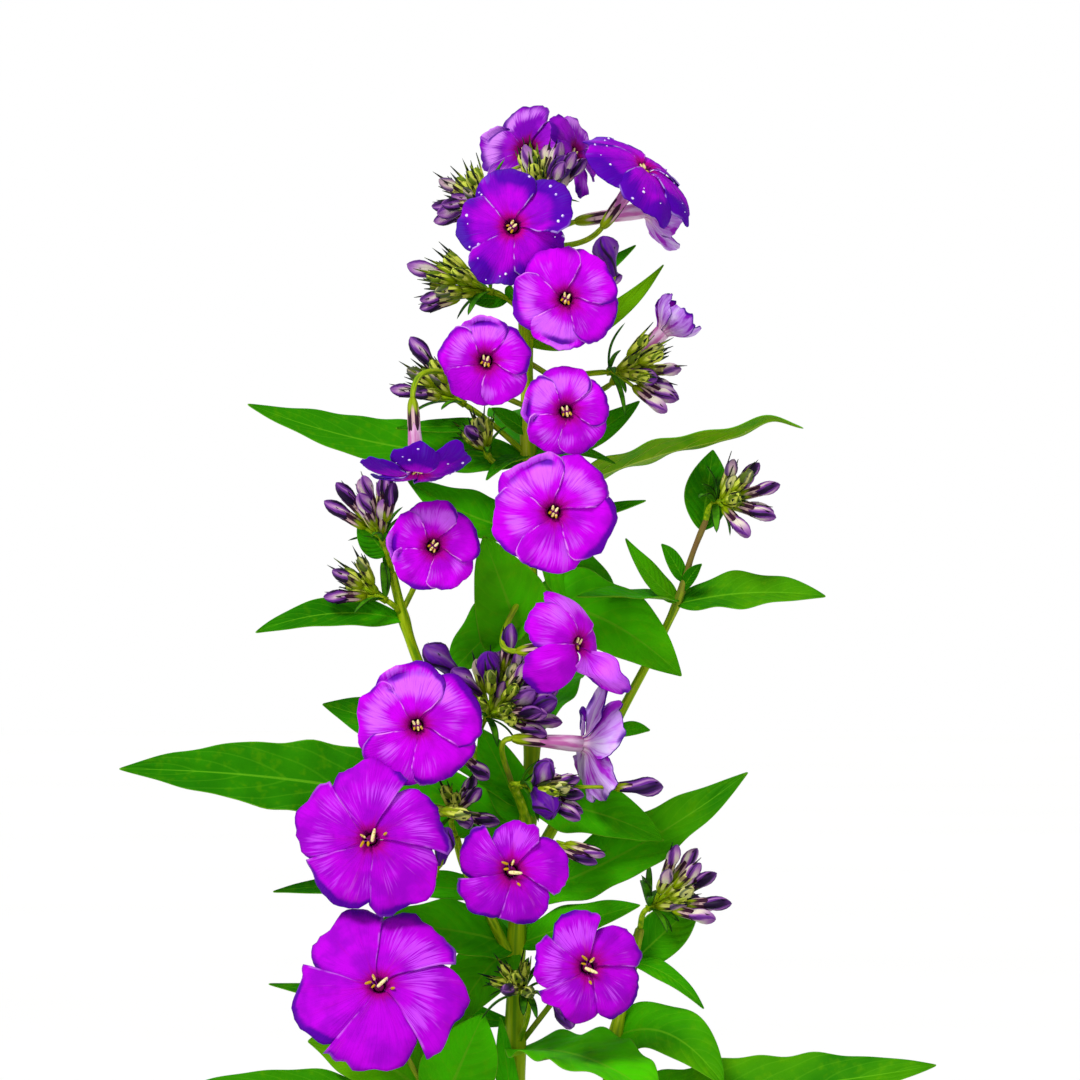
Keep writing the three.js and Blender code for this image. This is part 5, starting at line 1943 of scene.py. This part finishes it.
SPRAYS = [
    Spray("crown", (-5, 3, 442), (-1, -2, 448), (0.25, -0.25, 1), 9, 44, 18, 0.45),
    Spray("crown_left", (-4.8, 3, 434), (-12, 0, 447), (-0.9, -0.1, 0.55), 8, 52, 16, 0.3),
    Spray("upper_left", (-4, 2, 420), (-12, -2, 427), (-1, -0.25, 0.25), 9, 38, 21, 0.14),
    Spray("upper_right", (-3.4, 2, 404), (17, -1, 407), (1, -0.2, 0.05), 9, 48, 19, 0.34),
    Spray("middle_left_high", (-3.1, 2, 386), (-19, -3, 399), (-0.9, -0.2, 0.55), 6, 36, 19, 0.25),
    Spray("middle_left_low", (-3.1, 2, 386), (-13, -3, 386), (-0.35, -0.5, 0.9), 5, 34, 12, 0.2),
    Spray("shoot_left", (-37, -3, 356), (-39, -8, 364), (-0.4, -0.25, 1), 9, 40, 19, 0.7),
    Spray(
        "shoot_left_low", (-34.5, -2, 346), (-38.5, -5, 350), (-0.85, -0.2, 0.45), 5, 38, 17, 0.35
    ),
    Spray("shoot_right", (42, 7, 370), (43.5, 6, 374), (0.9, -0.35, 0.3), 9, 62, 16, 0.6, 8),
    Spray("centre", (-2, 1, 307), (-13.5, -9, 320.5), (0.65, -0.35, 0.65), 18, 64, 19.5, 0.62, 8),
    Spray("centre_low", (-7, -11, 304), (-5, -18, 304), (0.9, -0.45, -0.15), 6, 28, 17, 0.6),
    Spray(
        "right_low", (25, -2, 268), (27, -3.5, 273), (0.85, -0.1, 0.45), 10, 54, 19, 0.74, 9,
        carrier=Carrier.RIGHT,
    ),
    Spray("base", (-6, 0, 240), (-4, -13, 252), (-0.4, -0.75, 0.5), 6, 52, 13, 0.1, 11),
    Spray("left_inner", (-21, -11, 291), (-22, -14, 296), (0.15, -0.5, 0.35), 6, 75, 13, 0.5),
]


# ---- a leafy stem -------------------------------------------------------------------------


@dataclass
class LeafyStem:
    """One stem with its side shoots, its leaves, and the stalks and calyxes of what it carries.

    The calyx of a flower has the length, radius, ripeness and spread that are given in this order.
    """

    carrier: Carrier
    lines: list[MiddleLine] = field(init=False)
    spray_lines: list[MiddleLine] = field(init=False)

    STEPS = 60
    SIDES = 10
    STALK_RADIUS = 0.8
    STALK_SIDES = 8
    CALYX = (12.5, 1.6, 0.85, 1.75)
    CALYX_DEPTH = 0.4
    NODE_SWELL = 0.3
    NODE_REACH = 3.0
    LEAF_WALL = 0.4

    def __post_init__(self) -> None:
        """Draws the middle lines of its stem and shoots, and of the stalks of its sprays."""
        self.lines = [
            MiddleLine(smooth_line([Vector(point) for point in row.path], self.STEPS))
            for row in STEMS[self.carrier]
        ]
        self.spray_lines = [
            self.stalk(spray.root, Vector(spray.foot), Axes.facing(spray.points).out, 8)
            for spray in SPRAYS
            if spray.carrier is self.carrier
        ]

    def nearest(self, place: Point, lines: list[MiddleLine]) -> Vector:
        """The point of some lines that is nearest to a place."""
        target = Vector(place)
        spots = [line.nearest(target) for line in lines]
        return min(spots, key=lambda spot: (spot - target).length)

    def leaf_root(self, leaf: Leaf) -> Vector:
        """Where a leaf grows: on the stem, on a shoot or on the stalk of a spray."""
        return self.nearest(leaf.start, [*self.lines, *self.spray_lines])

    def stalk(self, root: Point, foot: Vector, way: Vector, steps: int) -> MiddleLine:
        """The stalk that leaves the stem or a shoot near a root and ends at a foot, along a way."""
        return Stalk(self.nearest(root, self.lines), foot, way).line(steps)

    def stems(self, bark: bpy.types.Material, sepal: bpy.types.Material) -> bpy.types.Object:
        """The stem, its shoots, its stalks and its flowers' calyxes.

        Args:
            bark: the stems' material.
            sepal: the calyxes' material.

        Returns:
            The object.
        """
        piece = Piece("stems_" + self.carrier.value, "leaf", [bark, sepal])
        joints = [self.leaf_root(leaf) for leaf in LEAVES[self.carrier]]
        for row, line in zip(STEMS[self.carrier], self.lines):
            near = [min((point - joint).length for joint in joints) for point in line.points]

            def radius(share: float, row: StemLine = row, near: list[float] = near) -> float:
                """The stem's radius, which swells where leaves grow."""
                swell = self.NODE_SWELL * hump(near[round(share * self.STEPS)], 0, self.NODE_REACH)
                return blend(*row.radius, share) * (1 + swell)

            def paint(along: float, across: float, row: StemLine = row) -> Marks:
                """Brownness, which grows towards the tip, and seed."""
                return (row.brown * ease(along, 0.5, 0.85), 0.0, 0.0, row.path[0][0] * 0.1)

            piece.rod(line, radius, self.SIDES, paint)
        stalks = [(line, even(0.15, seed=0.4)) for line in self.spray_lines]
        calyxes = []
        for bloom in BLOOMS:
            if bloom.carrier is self.carrier:
                foot, out = bloom.foot, bloom.axes.out
                stalks.append((self.stalk(bloom.root, foot, out, 10), even(0.35, seed=0.7)))
                seat = foot - out * self.CALYX_DEPTH
                calyxes.append(Calyx(seat, bloom.facing, *self.CALYX))
        for line, skin in stalks:
            piece.rod(line, lambda share: self.STALK_RADIUS, self.STALK_SIDES, skin)
        for calyx in calyxes:
            calyx.lay(piece, 1)
        return piece.finished("leafy_stem_" + self.carrier.value)

    def leaves(self, finishes: list[bpy.types.Material]) -> bpy.types.Object:
        """All its leaves as one piece.

        Args:
            finishes: the upper side, the underside and the edge.

        Returns:
            The object.
        """
        piece = Piece("leaves_" + self.carrier.value, "leaf", finishes)
        for number, leaf in enumerate(LEAVES[self.carrier]):
            leaf.lay(piece, self.leaf_root(leaf), number)
        return piece.finished("leafy_stem_" + self.carrier.value, wall=self.LEAF_WALL)


# ---- the pot and the soil -----------------------------------------------------------------


@dataclass
class Pot:
    """A plain thrown clay pot with a thick rim and three drain holes."""

    height: float = 136.0
    foot_radius: float = 47.0
    shoulder_radius: float = 67.0
    rim_radius: float = 73.0
    rim_height: float = 26.0
    rim_slope: float = 2.0
    wall: float = 6.5
    floor: float = 9.0
    drains: int = 3
    drain_radius: float = 4.5
    drain_ring: float = 24.0
    corner: float = 1.4
    steps: int = 96

    CORNER_STEPS = 4
    DRILL_SIDES = 32

    def inner_radius(self, height: float) -> float:
        """The inner wall leans out from the floor to the rim."""
        share = (height - self.floor) / (self.height - self.floor)
        return blend(self.foot_radius - self.wall, self.rim_radius - self.wall, share)

    def profile(self) -> list[Vector]:
        """The wall's section, with each of its corners cut round."""
        shoulder = self.height - self.rim_height
        corners = [
            (0, 0), (self.foot_radius, 0), (self.shoulder_radius, shoulder),
            (self.rim_radius, shoulder + self.rim_slope), (self.rim_radius, self.height),
            (self.inner_radius(self.height), self.height),
            (self.inner_radius(self.floor), self.floor), (0, self.floor),
        ]
        points = [Vector((radius, 0, height)) for radius, height in corners]
        section = [points[0]]
        for before, corner, after in zip(points, points[1:], points[2:]):
            enter = corner + (before - corner).normalized() * self.corner
            leave = corner + (after - corner).normalized() * self.corner
            for step in range(self.CORNER_STEPS + 1):
                section.append(bezier([enter, corner, leave], step / self.CORNER_STEPS))
        return [*section, points[-1]]

    def thrown(self, clay: bpy.types.Material) -> bpy.types.Object:
        """The pot as one piece.

        Args:
            clay: its material.

        Returns:
            The object.
        """
        piece = Piece("clay_pot", "clay", [clay])
        mesh = piece.mesh
        verts = [mesh.verts.new(point) for point in self.profile()]
        edges = [mesh.edges.new(pair) for pair in zip(verts, verts[1:])]
        bmesh.ops.spin(
            mesh, geom=[*verts, *edges], cent=(0, 0, 0), axis=(0, 0, 1), angle=math.tau,
            steps=self.steps, use_merge=True,
        )
        bmesh.ops.remove_doubles(mesh, verts=mesh.verts, dist=0.01)
        bmesh.ops.recalc_face_normals(mesh, faces=mesh.faces)
        for face in mesh.faces:
            face.smooth = True
        thing = piece.finished("pot", levels=0)
        self.drill(thing)
        return thing

    def drill(self, thing: bpy.types.Object) -> None:
        """Cuts the drain holes into the finished mesh."""
        drills = bmesh.new()
        for number in range(self.drains):
            turn = math.tau * number / self.drains
            place = UPRIGHT.ring(Vector(), self.drain_ring, turn, 0)
            bmesh.ops.create_cone(
                drills, cap_ends=True, segments=self.DRILL_SIDES, depth=4 * self.floor,
                radius1=self.drain_radius, radius2=self.drain_radius,
                matrix=Matrix.Translation(place),
            )
        bmesh.ops.scale(drills, vec=(MM, MM, MM), verts=drills.verts)
        cutter = placed("drills", settled("drills", drills))
        cut = thing.modifiers.new("drains", "BOOLEAN")
        cut.operation = "DIFFERENCE"
        cut.solver = "EXACT"
        cut.object = cutter
        ready = thing.evaluated_get(bpy.context.evaluated_depsgraph_get())
        drilled = bpy.data.meshes.new_from_object(ready)
        thing.modifiers.clear()
        thing.data = drilled
        bpy.data.objects.remove(cutter)


@dataclass
class Soil:
    """Potting soil heaped a little towards the stems, with crumbs and grit on it.

    Each kind of lump is given by how many come to a millimetre and how high they are.
    """

    pot: Pot
    top: float = 118.0
    mound: float = 4.0
    gap: float = 0.3
    crumbs: int = 260
    grit: int = 46
    rows: int = 30
    sides: int = 72

    SEED = 7
    LUMPS = ((0.16, 1.6), (0.5, 0.9))
    SINK = 0.6

    def surface(self, radius: float) -> float:
        """The height of the soil's top at a distance from the middle."""
        edge = self.pot.inner_radius(self.top)
        return self.top + self.mound * (1 - (radius / edge) ** 2)

    def heaped(self, finish: bpy.types.Material) -> bpy.types.Object:
        """The soil as one piece.

        Args:
            finish: its material.

        Returns:
            The object.
        """
        piece = Piece("potting_soil", "soil", [finish])
        edge = self.pot.inner_radius(self.top) - self.gap
        bottom, last = self.pot.floor + self.gap, self.rows + 2

        def place(along: float, across: float) -> Vector:
            """A point of the soil: the first two rows are its bottom and its side."""
            row = round(along * last)
            if row == 0:
                return Vector((0, 0, bottom))
            radius = self.pot.inner_radius(bottom) - self.gap
            if row > 1:
                radius = edge * (1 - (row - 2) / self.rows)
            spot = UPRIGHT.ring(Vector(), radius, math.tau * across, 0)
            height = bottom
            if row > 1:
                lumps = sum(noise.noise(spot * rate) * size for rate, size in self.LUMPS)
                height = self.surface(radius) + lumps * ease(last - row, 0, 3) - self.SINK
            return spot + Vector((0, 0, height))

        piece.sheet(last, self.sides, place, even(0.25))
        draw = random.Random(self.SEED)
        for number in range(self.crumbs + self.grit):
            self.drop_crumb(piece, draw, edge, gritty=number >= self.crumbs)
        return piece.finished("soil", levels=0)

    def drop_crumb(self, piece: Piece, draw: random.Random, edge: float, gritty: bool) -> None:
        """Drops one crumb of bark or grain of grit on the surface.

        Args:
            piece: the soil's mesh.
            draw: the source of its random size and place.
            edge: the soil's radius.
            gritty: whether it is a grain of grit.
        """
        turn, reach = draw.uniform(0, math.tau), math.sqrt(draw.random()) * (edge - 2)
        size = draw.uniform(0.6, 1.3) if gritty else draw.uniform(0.8, 2.4)
        flat = (draw.uniform(0.7, 1.3), draw.uniform(0.5, 1.0), draw.uniform(0.35, 0.6), 1)
        spin = Matrix.Rotation(draw.uniform(0, 6), 4, "Z") @ Matrix.Diagonal(flat)
        spot = Matrix.Translation(UPRIGHT.ring(Vector(), reach, turn, self.surface(reach)))
        made = bmesh.ops.create_icosphere(
            piece.mesh, subdivisions=1, radius=size, matrix=spot @ spin
        )
        marks = (0.0, 1.0, 0.0, 0.0) if gritty else (draw.random(), 0.0, 0.0, 0.0)
        for vert in made["verts"]:
            vert[piece.marks] = marks


# ---- the studio ---------------------------------------------------------------------------


@dataclass
class Studio:
    """A pale floor, an even white surround, a soft sun and the camera. Sizes are in metres."""

    floor_radius: float = 30.0
    floor_drop: float = 0.0005
    camera_distance: float = 4.5
    camera_height: float = 0.365
    field: float = 0.27
    sensor: float = 36.0
    surround: float = 0.56
    sun_power: float = 2.3
    sun_angle: float = 0.35
    sun_place: Point = (-0.45, -0.75, 0.9)

    def lay_floor(self) -> None:
        """The floor, which isn't part of the plant."""
        disc = bmesh.new()
        bmesh.ops.create_circle(disc, cap_ends=True, segments=96, radius=self.floor_radius)
        bmesh.ops.translate(disc, vec=(0, 0, -self.floor_drop), verts=disc.verts)
        floor = placed("floor", settled("floor", disc))
        draft = Finish("floor", roughness=0.9, gloss=0.1)
        white, warm = rgb(250, 250, 250), rgb(247, 247, 246)
        floor.data.materials.append(draft.dress(draft.mix(draft.clouds(0.7), white, warm)))
        floor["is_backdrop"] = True

    def light_up(self) -> None:
        """A soft sun, and a surround that lights the plant evenly and shows as plain white."""
        world = bpy.data.worlds.new("surround")
        world.use_nodes = True
        draft = Draft(world.node_tree)
        soft = world.node_tree.nodes["Background"]
        soft.inputs["Color"].default_value = (1, 1, 1, 1)
        soft.inputs["Strength"].default_value = self.surround
        plain = draft.add("Background", {"Color": (1, 1, 1, 1), "Strength": 1.0})
        seen = draft.add("LightPath").outputs["Is Camera Ray"]
        both = draft.add("MixShader", {0: seen, 1: soft.outputs[0], 2: plain.outputs[0]})
        draft.feed(world.node_tree.nodes["World Output"].inputs[0], both.outputs[0])
        bpy.context.scene.world = world
        lamp = bpy.data.lights.new("sun", "SUN")
        lamp.energy, lamp.angle = self.sun_power, self.sun_angle
        sun = placed("sun", lamp)
        sun.location = self.sun_place
        sun.rotation_euler = Vector(self.sun_place).to_track_quat("Z", "Y").to_euler()

    def set_camera(self) -> None:
        """A long lens, level with the middle of the flowers."""
        lens = bpy.data.cameras.new("camera")
        lens.sensor_width = self.sensor
        lens.lens = self.sensor * self.camera_distance / self.field
        lens.clip_end = 100.0
        camera = placed("camera", lens)
        camera.location = (0, -self.camera_distance, self.camera_height)
        camera.rotation_euler = (math.pi / 2, 0, 0)
        bpy.context.scene.camera = camera


# ---- the assembly -------------------------------------------------------------------------


def main() -> None:
    """Builds the plant, its pot and the studio."""
    logging.basicConfig(level=logging.INFO, format="%(name)s %(message)s")
    studio = Studio()
    studio.set_camera()
    studio.lay_floor()
    studio.light_up()
    bpy.context.scene.view_settings.view_transform = "Standard"

    pot = Pot()
    pot.thrown(PotFinish().clay_wall())
    Soil(pot).heaped(SoilFinish().crumb())

    bark, sepal = StemFinish().bark(), CalyxFinish().sepal()
    leaf_sides = LeafFinish().all_three()
    for carrier in Carrier:
        stem = LeafyStem(carrier)
        stem.stems(bark, sepal)
        stem.leaves(leaf_sides)

    petals = {tone: tone.value.all_three() for tone in Tone}
    stamens = Piece("stamens", "petal", [StamenFinish().anther(), StamenFinish().thread()])
    dew = Piece("dew", "petal", [DewFinish().drop()])
    for bloom in BLOOMS:
        bloom.petals(petals[bloom.tone], dew)
        bloom.lay_stamens(stamens)
    stamens.finished()
    dew.finished()

    bud_finishes = [BudFinish().roll(), sepal, bark, BractFinish().blade()]
    for spray in SPRAYS:
        spray.grown(bud_finishes)

    boxes = {"model": MODEL_BOX, "visual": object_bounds()}
    {name: [list(corner) for corner in box] for name, box in boxes.items()}


if __name__ == "__main__":
    main()
